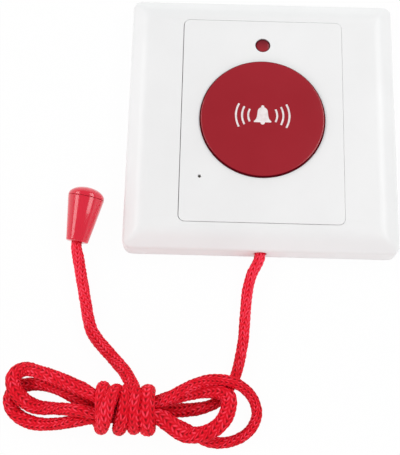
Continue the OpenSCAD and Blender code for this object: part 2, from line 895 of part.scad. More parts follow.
// Overhand knot pulled tight: a plump bead standing on the XY plane
module knot_bead(r, l) {
    edge = 0.9;
    rotate_extrude()
        polygon(concat(
            [[0, 0]],
            [for (a = [-60 : 15 : 60])
                [r - edge * (1 - cos(a)), l / 2 + (l / 2 - 0.2) * sin(a) / sin(60)]],
            [[0, l]]));
}

module cord_knot() {
    color("#d21a30")
        along_y(slider_back)
            knot_bead(knot_r, knot_l);
}

module pull_spring() {
    r = knot_r - pull_spring_wire / 2;
    from = touch_gap + pull_spring_wire / 2;
    color("#c9ccd0")
        along_y(-inner_w / 2)
            tube(
                helix(r, from, spring_room - from, pull_spring_turns, 12),
                pull_spring_wire / 2, 6);
}

module pull_switch_body() {
    color("#2b2b2d")
        difference() {
            translate([pull_switch_x, nose_y - switch_w / 2, board_top])
                cube([switch_w, switch_w, pull_switch_h]);
            translate([pull_switch_x - 1, nose_y, nose_z])
                rotate([0, 90, 0])
                    cylinder(r = nose_r + slide_gap, h = 1 + plunger_inside + ramp_slope * pull_travel + 0.3);
        }
}

module pull_switch_plunger() {
    color("#d9d6cc")
        translate([nose_x, nose_y, nose_z]) {
            sphere(r = nose_r);
            rotate([0, 90, 0])
                cylinder(r = nose_r, h = pull_switch_x + plunger_inside - nose_x);
        }
}

module cord_lead() {
    color("#d81e34")
        tube(lead_points, cord_r, 8);
}

module cord_hank() {
    color("#d81e34")
        tube(hank_points, cord_r, 6);
}

module cord_tail() {
    color("#d81e34")
        tube(tail_points, cord_r, 8);
}

module knob_body() {
    color("#cf2440")
        on_knob_axis()
            difference() {
                cylinder(d1 = knob_neck_d, d2 = knob_d, h = knob_l);
                translate([0, 0, -1])
                    cylinder(d = knob_bore_d, h = knob_l);
                translate([0, 0, knob_bore_l])
                    cylinder(d = knob_room_d, h = knob_l);
            }
}

module knob_cap() {
    r = knob_d / 2;
    edge = 0.6;
    color("#cf2440")
        on_knob_axis() {
            translate([0, 0, knob_l])
                rotate_extrude()
                    polygon(concat(
                        [[0, knob_groove], [r - 0.15, knob_groove], [r, knob_groove + edge]],
                        [for (a = [10 : 10 : 90])
                            [r * cos(a), knob_groove + edge + (knob_cap_h - knob_groove - edge) * sin(a)]]));
            translate([0, 0, knob_l - knob_plug_l])
                cylinder(d = knob_room_d - 2 * slide_gap, h = knob_plug_l + knob_groove + eps);
        }
}

module knob_knot() {
    color("#d21a30")
        on_knob_axis()
            translate([0, 0, knob_bore_l])
                knot_bead(knob_knot_r, knob_knot_l);
}

back_plate();
front_cover();
insert_panel();
push_button();
button_spring();
call_switch_body();
call_switch_plunger();
indicator_led();
circuit_board();
encoder_chip();
radio_crystal();
antenna_coil();
battery_holder();
battery_contact();
coin_cell();
pair_switch_body();
pair_switch_stem();
cord_slider();
pull_spring();
pull_switch_body();
pull_switch_plunger();
cord_knot();
board_screws();
cord_lead();
cord_hank();
cord_tail();
knob_body();
knob_cap();
knob_knot();
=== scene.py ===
# %% [markdown]
# # A wall call button with a pull cord
# The object is a square white wall unit with a big red push button. A knitted red cord comes out
# of its lower edge, is wound into a hank and ends in a glossy pull knob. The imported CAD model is
# the frame: it gives every place and size, and this script dresses it.

# %% Load the frame
import math

import bmesh
import bpy
import numpy as np
from mathutils import Matrix, Vector


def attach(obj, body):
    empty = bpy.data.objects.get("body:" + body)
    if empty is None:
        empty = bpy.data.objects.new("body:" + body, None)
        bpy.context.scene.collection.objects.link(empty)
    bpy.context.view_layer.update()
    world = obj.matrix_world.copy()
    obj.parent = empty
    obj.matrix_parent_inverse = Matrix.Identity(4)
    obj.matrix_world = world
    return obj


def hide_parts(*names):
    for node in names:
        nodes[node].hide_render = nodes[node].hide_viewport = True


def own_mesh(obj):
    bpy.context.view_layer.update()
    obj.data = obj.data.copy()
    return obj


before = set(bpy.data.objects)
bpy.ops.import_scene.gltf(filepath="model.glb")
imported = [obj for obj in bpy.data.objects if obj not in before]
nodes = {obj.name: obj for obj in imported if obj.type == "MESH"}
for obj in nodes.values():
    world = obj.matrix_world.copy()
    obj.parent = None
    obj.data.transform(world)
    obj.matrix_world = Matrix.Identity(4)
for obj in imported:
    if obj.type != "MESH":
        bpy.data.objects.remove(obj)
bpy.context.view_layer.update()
MM = 0.001

# %% [markdown]
# ## Camera
# The unit lies on its back and is seen from above its lower edge. The camera was fitted to the
# outline of the cover, so it is given by where it looks, how high it stands and how far away.
# The sensor's width belongs to the long side of the picture, which here is its height.

# %% Camera
IMAGE_H = 455
SENSOR_MM = 36
FOCAL_PX = 953.8
look_at = Vector((-18.96, -33.78, 0)) * MM
camera_distance = 302.67 * MM
elevation, yaw, roll = (math.radians(a) for a in (72.752, 0.071, 1.412))

backward = Vector((
    math.sin(yaw) * math.cos(elevation),
    -math.cos(yaw) * math.cos(elevation),
    math.sin(elevation),
))
level = Vector((math.cos(yaw), math.sin(yaw), 0))
upward = backward.cross(level)
camera_x = level * math.cos(roll) + upward * math.sin(roll)
camera_y = upward * math.cos(roll) - level * math.sin(roll)

camera = bpy.data.objects.new("Camera", bpy.data.cameras.new("Camera"))
bpy.context.scene.collection.objects.link(camera)
camera.data.sensor_width = SENSOR_MM
camera.data.lens = FOCAL_PX / IMAGE_H * SENSOR_MM
camera.data.clip_start = 0.01
camera.matrix_world = (
    Matrix.Translation(look_at + backward * camera_distance)
    @ Matrix((camera_x, camera_y, backward)).transposed().to_4x4()
)
bpy.context.scene.camera = camera
bpy.context.scene.view_settings.view_transform = "Standard"
print("lens mm:", round(camera.data.lens, 2))

# %% [markdown]
# ## Cord route
# The cord is one length of about 0.65 m. It could be drawn by hand as a curve, but a hank has an
# order that a formula keeps: five strands on a ring at the waist, two loops on each side, and
# turns of the same cord round the waist. The numbers are close to those of the CAD source, in
# millimetres; the turns are laid closer and less evenly, as a hand lays them.

# %% Route of the cord
cord_d = 3.1
lay_z = cord_d / 2 + 0.05
cord_z = 3.4
strand_pitch, strand_turn = 3.66, 72
over_z = lay_z + strand_pitch
core_r = strand_pitch / 2 / math.sin(math.radians(strand_turn / 2))
wrap_r = core_r + strand_pitch
waist_z = wrap_r + lay_z
waist_left, waist_right = 9.5, 9.2
leg_steps, arc_steps, run_steps = 6, 12, 6
# two loops differ, named by side and strand in: one bends with fuller shoulders, and one strand
# bulges up and out beside the turns that squeeze it
inner_right, upper_left = (1, 3), (-1, 2)
inner_bend, plain_bend = 0.85, 1
upper_bulge = 1.8, 0.5
wrap_start_angle, wrap_end_angle, wrap_step, wrap_end_x = 30, 1260, 15, 3
# angle, place along the waist and rise of the turns wound last: the second crosses over the first
turn_marks = np.array([
    (wrap_start_angle, -9.6, -0.2), (60, -8, -1.1), (90, -6.9, -1.8), (135, -6.9, -1.2),
    (180, -7.1, -0.3), (225, -7.4, 0.4), (270, -7.5, 0.6), (360, -7.9, 0), (405, -7.9, 0),
    (450, -7.6, -0.3), (480, -7.1, 0.7), (510, -6.2, 2), (535, -5.3, 2.4), (570, -4, 1.2),
    (600, -3.3, 0.1), (630, -3, -0.4), (720, -2.6, 0), (780, -2.2, 0), (810, -1.9, 0),
    (855, -1.1, 0.1), (900, -0.1, 0.1), (990, 0.4, 0), (1080, 1.7, 0), (1170, 2.8, -0.5),
    (wrap_end_angle, wrap_end_x, 0.2),
])
first_turn_x, first_turn_lead, first_turn_end = 7.1, -0.4, 285
hank_at = np.array([-39.1, -92.3, 0])

# the knitted cord is thicker than the CAD line and gets lifted by that later, but not in its hole
knit_lift = 0.24
lead_z = cord_z - knit_lift
lead_points = [
    (0, -28, lead_z), (0, -35, lead_z), (0, -41.4, lead_z), (0, -43, lead_z),
    (-0.4, -45, 3.3), (-1.35, -47, 3.3), (-2.35, -49, 3.1), (-3.15, -51.3, 2.8), (-3.75, -54, 2.3),
    (-4.15, -57.6, 1.8),
    (-4.4, -62, lay_z), (-4.7, -67, lay_z), (-4.9, -70, lay_z), (-5.3, -72.3, lay_z),
]
under_loops = [
    (33.4, 17.6, lay_z), (33, 15.2, lay_z), (32, 11.5, lay_z), (29.8, 7.2, lay_z),
    (26.6, 3.5, lay_z),
]
into_turn = [
    (22, 1.6, lay_z), (17, 0.9, lay_z), (12.5, 0.6, lay_z), (9.9, 0.2, lay_z), (8.6, -0.5, lay_z),
    (7.7, -1.7, 1.75),
]
into_waist = [
    (7, 6.3, 5), (6.3, 5.6, 3.9), (5.2, 4.5, 3.5), (3.9, 3.1, 3.6), (2.4, 1.6, 4),
    (0.8, 0.5, 4.8), (-1, 0.05, waist_z - core_r), (-5, 0, waist_z - core_r),
]
# side, strand in and out, bend start, end and reach, y out and back, z before, at and after the
# bend, how late each strand sinks, how late it fans out
hank_loops = [
    (-1, 0, 4, 28, 25, 8.6, 7.5, -4.3, lay_z, lay_z, lay_z, 2.8, 1.6, 1.12, 1.25),
    (1, 4, 2, 27, 27, 11.5, -8.4, 9.6, lay_z, lay_z, 6.7, 0.22, 1.5, 2.8, 1.25),
    (-1, 2, 3, 30, 25, 6.1, 11.4, 0.3, 5.3, over_z + 0.15, 3, 5, 2, -0.6, 1),
    (1, 3, 1, 19, 25, 7.5, -6.7, 6.5, over_z + 0.4, over_z + 0.4, 5, 1.6, 0.8, 1.5, 1.25),
]
wrap_entry = [
    (-8.4, 3, 7.4), (-9.9, 3.5, 7.25), (-11.1, 4.75, 6.4), (-11.7, 5.5, 4.65), (-11.8, 5.1, 2.9),
    (-11.9, 3.4, 1.8), (-11.9, 0.6, lay_z), (-11.5, -1.4, lay_z),
]
wrap_exit = [
    (wrap_end_x + 0.1, 1.8, 15.2), (wrap_end_x, 3.7, 14.6), (wrap_end_x - 0.3, 5.6, 13.4),
    (wrap_end_x - 0.9, 7.5, 11.4), (0.7, 9.4, 9), (-0.8, 11.2, 6.7), (-2.5, 13, 4.6), (-4.3, 15, 2.8),
    (-6.3, 17.2, 1.85), (-8.6, 19.6, lay_z), (-10.7, 22, lay_z), (-12.2, 24.4, lay_z),
]
knob_turn = math.radians(9.3)
knob_d, knob_neck_d, knob_l, table_gap = 11.3, 7, 14, 0.03
knob_lean = math.atan((knob_d - knob_neck_d) / 2 / knob_l)
knob_at = np.array([-57.2, -40.6, knob_neck_d / 2 * math.cos(knob_lean) + table_gap])
knob_axis = np.array([
    math.sin(knob_turn) * math.cos(knob_lean),
    math.cos(knob_turn) * math.cos(knob_lean),
    math.sin(knob_lean),
])
knob_bore_l = 4
tail_points = [
    (-52, -65.7, lay_z), (-52.7, -63.1, lay_z), (-53.8, -58, lay_z), (-54.9, -53.2, lay_z),
    (-55.7, -49.5, 1.8), (-56.4, -46.4, 2.2), (-56.9, -44, 2.75),
    knob_at - 0.4 * cord_d * knob_axis, knob_at, knob_at + knob_bore_l * knob_axis,
]
print("waist radius mm:", round(wrap_r, 2), "loops:", len(hank_loops))

# %% [markdown]
# ## Loops and turns
# A loop leaves the waist along one strand, fans out and sinks to the table, goes round its bend
# and comes back along another strand. A turn is a circle round the waist that moves along it.
# Both are worked out from the rows above, so that the hank keeps its order when a row changes.

# %% Loops and turns of the hank
def strand(k):
    """Place of strand k on the ring at the waist, as (y, z)."""
    a = math.radians(strand_turn * k)
    return core_r * math.sin(a), waist_z - core_r * math.cos(a)


def ease(s):
    return (1 - math.cos(math.pi * s)) / 2


def leg_point(foot, top, late, fan, s):
    """A strand from the waist to a bend: it fans out, straight where fan is below 0, and sinks."""
    f = math.sin(math.pi / 2 * s) ** fan if fan > 0 else s ** -fan
    return (
        foot[0] + (top[0] - foot[0]) * s,
        foot[1] + (top[1] - foot[1]) * f,
        foot[2] + (top[2] - foot[2]) * f ** late,
    )


def bend_z(a, tip, b, s):
    return a + (tip - a) * ease(2 * s) if s < 0.5 else tip + (b - tip) * ease(2 * s - 1)


def rounded(x, power):
    """x drawn towards its sign, so that a bend has fuller shoulders."""
    return math.copysign(abs(x) ** power, x)


def loop_points(row):
    """One loop of the hank: out along a strand, round the bend, back, and through the waist."""
    side, k_in, k_out, x1, x2, reach, y1, y2, z1, z_tip, z2, late1, late2, fan1, fan2 = row
    waist, other = (waist_left, waist_right) if side < 0 else (waist_right, waist_left)
    bend_power = inner_bend if (side, k_in) == inner_right else plain_bend
    start = (side * waist, *strand(k_in))
    end = (side * waist, *strand(k_out))
    legs = [i / leg_steps for i in range(leg_steps)]
    points = [leg_point(start, (side * x1, y1, z1), late1, fan1, s) for s in legs]
    if (side, k_in) == upper_left:
        points[:2] = [(x, y + b, z + b) for (x, y, z), b in zip(points, upper_bulge)]
    for i in range(arc_steps):
        s = i / arc_steps
        points.append((
            side * (x1 + (x2 - x1) * ease(s) + reach * rounded(math.sin(math.pi * s), bend_power)),
            (y1 + y2) / 2 + (y1 - y2) / 2 * rounded(math.cos(math.pi * s), bend_power),
            bend_z(z1, z_tip, z2, s),
        ))
    points += [leg_point(end, (side * x2, y2, z2), late2, fan2, 1 - s) for s in legs]
    points += [
        (end[0] + (-side * other - end[0]) * i / run_steps, end[1], end[2]) for i in range(run_steps)
    ]
    return points


def turn_point(x, degrees, rise=0):
    """A point on a turn round the waist, counted from the bottom towards the front."""
    a = math.radians(degrees)
    return x, -(wrap_r + rise) * math.sin(a), waist_z - (wrap_r + rise) * math.cos(a)


def wrap_point(degrees):
    """A point on the turns wound last, between the marks."""
    x, rise = (np.interp(degrees, turn_marks[:, 0], turn_marks[:, k]) for k in (1, 2))
    return turn_point(x, degrees, rise)


first_turn_sweep = first_turn_end - wrap_start_angle
first_turn = [
    turn_point(first_turn_x + first_turn_lead * (d - wrap_start_angle) / first_turn_sweep, d)
    for d in range(wrap_start_angle, first_turn_end + 1, wrap_step)
]
wraps = [wrap_point(d) for d in range(wrap_start_angle, wrap_end_angle + 1, wrap_step)]
print("turns:", round((wrap_end_angle + first_turn_end) / 360, 1))

# %% [markdown]
# ## Soft waist and girth
# A knitted cord is hollow and soft. Its turns press the waist together, it is thin with long
# stitches where it is drawn tight, thick where it lies slack, and it goes flat in a tight bend.
# Each stretch of the route therefore has a half width and a stitch length.

# %% Press the waist and give each stretch its girth
squeeze_x, squeeze_r = 0.08, 0.15
hold_x, hold_y, hold_fade = 16, 13, 6
waist_w, turn_w, late_turn_w, late_turn = 1.5, 2.2, 2.15, 46
# half width of the strand out, the bend and the strand back, and the length of a stitch
loop_girth = [(2, 2.25, 1.95, 1.5), (1.95, 1.75, 1.85, 1.45), (2.1, 2.45, 2, 1.5), (2.75, 2.5, 2.4, 1.45)]


def smooth_step(x):
    x = min(max(x, 0), 1)
    return x * x * (3 - 2 * x)


def pressed(p):
    """A point of the hank, drawn in towards the waist where the turns hold it."""
    x, y, z = p
    hold = smooth_step((hold_x - abs(x)) / hold_fade) * smooth_step((hold_y - abs(y)) / hold_fade)
    kept_r = 1 - squeeze_r * hold
    return x * (1 - squeeze_x * hold), y * kept_r, lay_z + (z - lay_z) * kept_r


# each stretch: its points, half width and length of a stitch
hank_stretches = [
    (under_loops, 1.8, 1.5), (into_turn, 2.2, 1.45), (first_turn, turn_w + 0.2, 1.5),
    (into_waist, 1.6, 1.5),
]
for row, (out_w, bend_w, back_w, stitch) in zip(hank_loops, loop_girth):
    points = loop_points(row)
    a, b = leg_steps, leg_steps + arc_steps
    hank_stretches += [(points[:a], out_w, stitch), (points[a:b], bend_w, stitch)]
    hank_stretches += [(points[b:b + a], back_w, stitch), (points[b + a:], waist_w, stitch)]
hank_stretches += [(wrap_entry, 1.7, 1.5), (wraps[:late_turn], turn_w, 1.5)]
hank_stretches += [(wraps[late_turn:], late_turn_w, 1.5), (wrap_exit, 2.1, 1.45)]
stretches = [(lead_points, 1.82, 1.65)]
stretches += [([hank_at + pressed(p) for p in points], w, stitch) for points, w, stitch in hank_stretches]
stretches += [(tail_points[:-3], 1.95, 1.45), (tail_points[-3:], 1.6, 1.5)]
route_knots = np.array([tuple(p) for points, w, stitch in stretches for p in points])
knot_girth = np.array([(w, stitch) for points, w, stitch in stretches for p in points])
print("route knots:", len(route_knots))

# %% [markdown]
# ## Smoothing the route
# Straight lines between knots would show as kinks. A spline through the knots, spaced by the
# square root of their distance, doesn't overshoot where knots lie close together. A thick cord
# can't turn on the spot, so the line is averaged over a short reach, and it is cut into equal steps,
# one for each ring of the cord.

# %% Smooth the route and cut it into equal steps
ring_step = 0.26
spline_samples = 16
bend_reach, girth_reach = 2.4, 6


def spline_through(knots, samples):
    """Centripetal Catmull-Rom spline through knots, sampled between each pair."""
    ends = [2 * knots[0] - knots[1]], [2 * knots[-1] - knots[-2]]
    p = np.vstack([ends[0], knots, ends[1]])
    out = []
    for i in range(1, len(p) - 2):
        p0, p1, p2, p3 = p[i - 1:i + 3]
        t0 = 0.0
        t1 = t0 + math.sqrt(np.linalg.norm(p1 - p0))
        t2 = t1 + math.sqrt(np.linalg.norm(p2 - p1))
        t3 = t2 + math.sqrt(np.linalg.norm(p3 - p2))
        for t in np.linspace(t1, t2, samples, endpoint=False):
            a1 = (t1 - t) / (t1 - t0) * p0 + (t - t0) / (t1 - t0) * p1
            a2 = (t2 - t) / (t2 - t1) * p1 + (t - t1) / (t2 - t1) * p2
            a3 = (t3 - t) / (t3 - t2) * p2 + (t - t2) / (t3 - t2) * p3
            b1 = (t2 - t) / (t2 - t0) * a1 + (t - t0) / (t2 - t0) * a2
            b2 = (t3 - t) / (t3 - t1) * a2 + (t - t1) / (t3 - t1) * a3
            out.append((t2 - t) / (t2 - t1) * b1 + (t - t1) / (t2 - t1) * b2)
    out.append(knots[-1])
    return np.array(out)


def equal_steps(points, values, step):
    """The same line, and values along it, cut into steps of nearly the given length."""
    s = np.concatenate([[0], np.cumsum(np.linalg.norm(np.diff(points, axis=0), axis=1))])
    marks = np.linspace(0, s[-1], int(round(s[-1] / step)) + 1)
    cut_rows = [
        np.column_stack([np.interp(marks, s, c) for c in rows.T]) for rows in (points, values)
    ]
    return *cut_rows, marks


def softened(values, reach):
    """Values averaged along the line, so that one stretch runs into the next."""
    n = int(reach / ring_step)
    weights = np.hanning(2 * n + 1)[1:-1]
    padded = np.pad(values, ((n - 1, n - 1), (0, 0)), mode="edge")
    return np.column_stack([
        np.convolve(c, weights / weights.sum(), mode="valid") for c in padded.T
    ])


spline = spline_through(route_knots, spline_samples)
spline_girth = np.repeat(knot_girth, spline_samples, axis=0)[:len(spline)]
route, girth, route_s = equal_steps(spline, spline_girth, ring_step)
route, girth, route_s = equal_steps(softened(route, bend_reach), softened(girth, girth_reach), ring_step)
cord_length = route_s[-1]
print("cord length mm:", round(cord_length, 1), "rings:", len(route))

# %% [markdown]
# ## Knitted cord
# The real cord is knitted: six columns of V-shaped stitches run along it, and each V has two
# plump legs. It could be a smooth tube with a bump map, but the stitches show in the outline, so
# the tube's own radius follows them. Where the legs of one V meet, the middle of the column is
# filled; between two of them it is an open eye. The columns wander round the cord, and no two
# stitches are quite alike, so both get a little unevenness with a fixed seed.

# %% Stitches of the cord
columns = 6
sides_per_column = 6
cord_sides = columns * sides_per_column
leg_slant, column_shift = 0.95, 0.37
# a leg's middle and half width and the reach of a meeting, as shares of a column
leg_middle, leg_half, meet_reach = 0.25, 0.27, 0.2
# the least height between the beads of a leg, and the height of a meeting
least_bead, meet_height = 0.3, 0.6
stitch_seed, least_stitch, uneven_rows = 7, 0.72, 511
uneven_stitch = np.random.default_rng(stitch_seed).uniform(least_stitch, 1.0, (columns, uneven_rows))
drift_l = 160
(wide_swing, wide_swing_l), (small_swing, small_swing_l) = (0.16, 9), (0.08, 3.7)


def stitch_height(count, angle_share):
    """Height of the knit from 0 in a crevice to 1 on a stitch's leg."""
    column = np.floor(angle_share * columns).astype(int) % columns
    count = count + column_shift * column
    across = np.abs((angle_share * columns) % 1.0 - 0.5)
    along_leg = count - leg_slant * across * 2
    plump = np.sqrt(np.clip(1 - ((across - leg_middle) / leg_half) ** 2, 0, 1))
    bead = 0.5 + 0.5 * np.cos(2 * np.pi * along_leg)
    legs = plump * (least_bead + (1 - least_bead) * np.sqrt(bead))
    meeting = np.clip(1 - across / meet_reach, 0, 1) * (0.5 + 0.5 * np.cos(2 * np.pi * count))
    stitch = np.floor(along_leg + 0.5).astype(int)
    return np.maximum(legs, meet_height * meeting) * uneven_stitch[column, stitch % uneven_rows]


half_w, stitch_l = girth.T
stitch_count = np.concatenate([[0], np.cumsum(np.diff(route_s) / stitch_l[1:])])
wander = route_s / drift_l + wide_swing * np.sin(route_s / wide_swing_l)
wander = wander + small_swing * np.sin(route_s / small_swing_l)
share = (np.arange(cord_sides) + 0.5) / cord_sides
knit = stitch_height(stitch_count[:, None], share[None, :] + wander[:, None])
print("stitches along the cord:", int(stitch_count[-1]))

# %% [markdown]
# ## Skin of the cord
# The tube is made of rings. Their directions are carried along the route without twisting, so that
# the columns turn only by their own wander. A thick stretch is wider than high, because soft cord
# goes flat. The UV map counts stitches along the cord and turns round it, for the finish.

# %% Build the knitted cord
stitch_relief = 0.42
flat_from, flat_share = 2.1, 1.4
cord_sink, steep_from = 0.03, 0.6
half_h = half_w - flat_share * np.clip(half_w - flat_from, 0, None)
route[:, 2] += half_h - cord_d / 2 - cord_sink


def rings_round(line, angles):
    """Tangents of a line, and the outward directions at the angles round each of its points."""
    t = np.gradient(line, axis=0)
    t /= np.linalg.norm(t, axis=1)[:, None]
    u = np.zeros_like(t)
    first = np.array([0.3, 0.2, 1.0])
    u[0] = first - first.dot(t[0]) * t[0]
    u[0] /= np.linalg.norm(u[0])
    for i in range(1, len(t)):
        v = u[i - 1] - u[i - 1].dot(t[i]) * t[i]
        u[i] = v / np.linalg.norm(v)
    v = np.cross(t, u)
    return t, np.cos(angles)[None, :, None] * u[:, None, :] + np.sin(angles)[None, :, None] * v[:, None, :]


tangent, ring = rings_round(route, 2 * np.pi * share)
level_side = np.cross([0, 0, 1], tangent)
steep = np.abs(tangent[:, 2]) > steep_from
level_side[steep] = [1, 0, 0] - tangent[steep, :1] * tangent[steep]
level_side /= np.maximum(np.linalg.norm(level_side, axis=1), 1e-6)[:, None]
widening = (half_w - half_h)[:, None] * (ring * level_side[:, None, :]).sum(axis=2)
radius = half_h[:, None] - stitch_relief * (1 - knit)
cord_verts = route[:, None, :] + radius[:, :, None] * ring
cord_verts = cord_verts + widening[:, :, None] * level_side[:, None, :]
cord_verts = cord_verts.reshape(-1, 3) * MM


def tube_faces(rings, sides):
    """Faces between rings of points, and a cap at each end."""
    faces = []
    for i in range(rings - 1):
        a, b = i * sides, (i + 1) * sides
        for k in range(sides):
            m = (k + 1) % sides
            faces.append((a + k, a + m, b + m, b + k))
    faces.append(tuple(range(sides - 1, -1, -1)))
    faces.append(tuple((rings - 1) * sides + k for k in range(sides)))
    return faces


cord_faces = tube_faces(len(route), cord_sides)


def mesh_piece(name, verts, faces):
    """A new object at the origin from vertices in metres."""
    mesh = bpy.data.meshes.new(name)
    mesh.from_pydata([tuple(map(float, v)) for v in verts], [], faces)
    mesh.update()
    obj = bpy.data.objects.new(name, mesh)
    bpy.context.scene.collection.objects.link(obj)
    return obj


pull_cord = mesh_piece("pull_cord", cord_verts, cord_faces)
cord_mesh = pull_cord.data
cord_mesh.polygons.foreach_set("use_smooth", [True] * len(cord_mesh.polygons))
uv_layer = cord_mesh.uv_layers.new(name="along_and_round")
uv = np.zeros((len(cord_mesh.loops), 2), np.float32)
quads = len(route) - 1
ring_index = np.repeat(np.arange(quads), cord_sides)
side_index = np.tile(np.arange(cord_sides), quads)
corner_ring = np.stack([ring_index, ring_index, ring_index + 1, ring_index + 1], 1).reshape(-1)
corner_side = np.stack([side_index, side_index + 1, side_index + 1, side_index], 1).reshape(-1)
uv[:len(corner_ring), 0] = stitch_count[corner_ring]
uv[:len(corner_ring), 1] = corner_side / cord_sides + wander[corner_ring]
uv_layer.data.foreach_set("uv", uv.reshape(-1))
print("cord triangles:", 2 * len(cord_faces))

# %% [markdown]
# ## Node helpers
# Every finish below is a Principled shader with a few procedural textures in front of it. These
# helpers keep the node code short: one makes a node and joins its inputs, one starts a finish.

# %% Helpers for materials
SRGB_CUT = 0.04045


def linear(r, g, b):
    """A display colour, 0 to 255, as a linear one."""
    def one(c):
        c /= 255
        return c / 12.92 if c <= SRGB_CUT else ((c + 0.055) / 1.055) ** 2.4
    return one(r), one(g), one(b), 1.0


class Finish:
    """A material under construction: a Principled shader, and textures on Object coordinates."""

    def __init__(self, name, roughness=0.5, **sockets):
        self.material = bpy.data.materials.new(name)
        self.material.use_nodes = True
        self.tree = self.material.node_tree
        self.shader = self.tree.nodes["Principled BSDF"]
        self.shader.inputs["Roughness"].default_value = roughness
        for socket, value in sockets.items():
            self.shader.inputs[socket.replace("_", " ")].default_value = value
        self.coords = self.node("ShaderNodeTexCoord").outputs["Object"]

    def node(self, kind, **values):
        """A node of that kind. Names in capitals are properties, the others are inputs."""
        made = self.tree.nodes.new(kind)
        for name, value in values.items():
            if name.isupper():
                setattr(made, name.lower(), value)
                continue
            socket = made.inputs[int(name[1:]) if name[0] == "i" and name[1:].isdigit() else name]
            if isinstance(value, bpy.types.NodeSocket):
                self.tree.links.new(value, socket)
            else:
                socket.default_value = value
        return made

    def noise(self, scale, detail=2.0, roughness=0.5, vector=None):
        return self.node(
            "ShaderNodeTexNoise", Vector=vector or self.coords, Scale=scale, Detail=detail,
            Roughness=roughness,
        ).outputs["Fac"]

    def ramp(self, value, *stops):
        """A colour ramp: stops are (position, colour)."""
        made = self.node("ShaderNodeValToRGB", Fac=value)
        while len(made.color_ramp.elements) < len(stops):
            made.color_ramp.elements.new(0.5)
        for element, (position, colour) in zip(made.color_ramp.elements, stops):
            element.position = position
            element.color = colour
        return made.outputs["Color"]

    def math(self, operation, a, b=0.0):
        return self.node("ShaderNodeMath", OPERATION=operation, i0=a, i1=b).outputs[0]

    def spread(self, value, low, high, start=0.0, end=1.0):
        """A value from start to end mapped to low to high, and held there beyond."""
        limits = {"From Min": start, "From Max": end, "To Min": low, "To Max": high}
        return self.node("ShaderNodeMapRange", Value=value, **limits).outputs[0]

    def bump(self, height, distance, strength=1.0):
        made = self.node("ShaderNodeBump", Height=height, Distance=distance, Strength=strength)
        self.tree.links.new(made.outputs["Normal"], self.shader.inputs["Normal"])

    def colour(self, value):
        self.tree.links.new(value, self.shader.inputs["Base Color"])

    def rough(self, value):
        self.tree.links.new(value, self.shader.inputs["Roughness"])


def dress(obj, finish):
    """Gives a piece one material."""
    obj.data.materials.clear()
    obj.data.materials.append(finish.material)
    return obj


print("helpers ready")

# %% [markdown]
# ## Cord finish
# Polyester yarn with light painted on its colour: a painted highlight where a leg stands up, and
# painted shade, deep red, in the crevices and eyes between stitches. The mesh is too coarse to carry
# that shading, so the shader draws the same stitches from the UV map: stitches along the cord, turns
# round it. Fine streaks stand for the filaments. Painted light makes the two free stretches a little
# paler than the hank.

# %% Finish of the knitted cord
shade_half, crest_share, eye_reach, eye_depth = 0.56, 0.55, 0.5, 0.6
hank_y, free_y, free_painted_light = -0.08, -0.062, 0.26
cord_finish = Finish("knitted_polyester", 0.6, Specular_IOR_Level=0.15)
cord_uv = cord_finish.node("ShaderNodeUVMap", UV_MAP="along_and_round").outputs["UV"]
cord_xyz = cord_finish.node("ShaderNodeSeparateXYZ", Vector=cord_uv).outputs
do = cord_finish.math
in_columns = do("MULTIPLY", cord_xyz["Y"], columns)
column_at = do("SUBTRACT", do("FLOOR", in_columns), do("MULTIPLY", do("FLOOR", cord_xyz["Y"]), columns))
across_at = do("MULTIPLY", do("ABSOLUTE", do("SUBTRACT", do("FRACT", in_columns), 0.5)), 2)
leg_at = do("ADD", cord_xyz["X"], do("MULTIPLY", column_at, column_shift))
leg_at = do("SUBTRACT", leg_at, do("MULTIPLY", across_at, leg_slant))
crest = do("ADD", do("MULTIPLY", do("COSINE", do("MULTIPLY", leg_at, 2 * math.pi)), 0.5), 0.5)
edge = do("DIVIDE", do("SUBTRACT", across_at, 2 * leg_middle), shade_half)
plump_at = do("SQRT", do("MAXIMUM", do("SUBTRACT", 1.0, do("MULTIPLY", edge, edge)), 0.0))
# the knit's relief, used for the bump and also as painted highlight on the legs and painted shade in the
# eyes
leg_height_and_light = do("MULTIPLY", do("ADD", do("MULTIPLY", crest, crest_share), 1 - crest_share), plump_at)
eye = do("MAXIMUM", do("SUBTRACT", 1.0, do("DIVIDE", across_at, eye_reach)), 0.0)
eye_hollow_and_shade = do("MULTIPLY", do("MULTIPLY", eye, do("SUBTRACT", 1.0, crest)), eye_depth)
knit_height_and_shade = do("SUBTRACT", leg_height_and_light, eye_hollow_and_shade)
stitch_at = do("FLOOR", do("ADD", leg_at, 0.5))
stitch_id = cord_finish.node("ShaderNodeCombineXYZ", i0=column_at, i1=stitch_at)
chance = cord_finish.node("ShaderNodeTexWhiteNoise", Vector=stitch_id.outputs[0]).outputs["Value"]
yarn_map = cord_finish.node("ShaderNodeMapping", Vector=cord_uv, Scale=(1.6, 90, 1))
filaments = cord_finish.noise(3.0, 3.0, 0.6, yarn_map.outputs["Vector"])
tone = do("MULTIPLY", knit_height_and_shade, cord_finish.spread(chance, 0.7, 1.15))
tone = do("ADD", tone, cord_finish.spread(filaments, -0.14, 0.14))
cord_place = cord_finish.node("ShaderNodeSeparateXYZ", Vector=cord_finish.coords).outputs["Y"]
# painted light: the cord is paler from the hank towards the back, where the free stretches lie
tone = do("ADD", tone, cord_finish.spread(cord_place, 0.0, free_painted_light, hank_y, free_y))
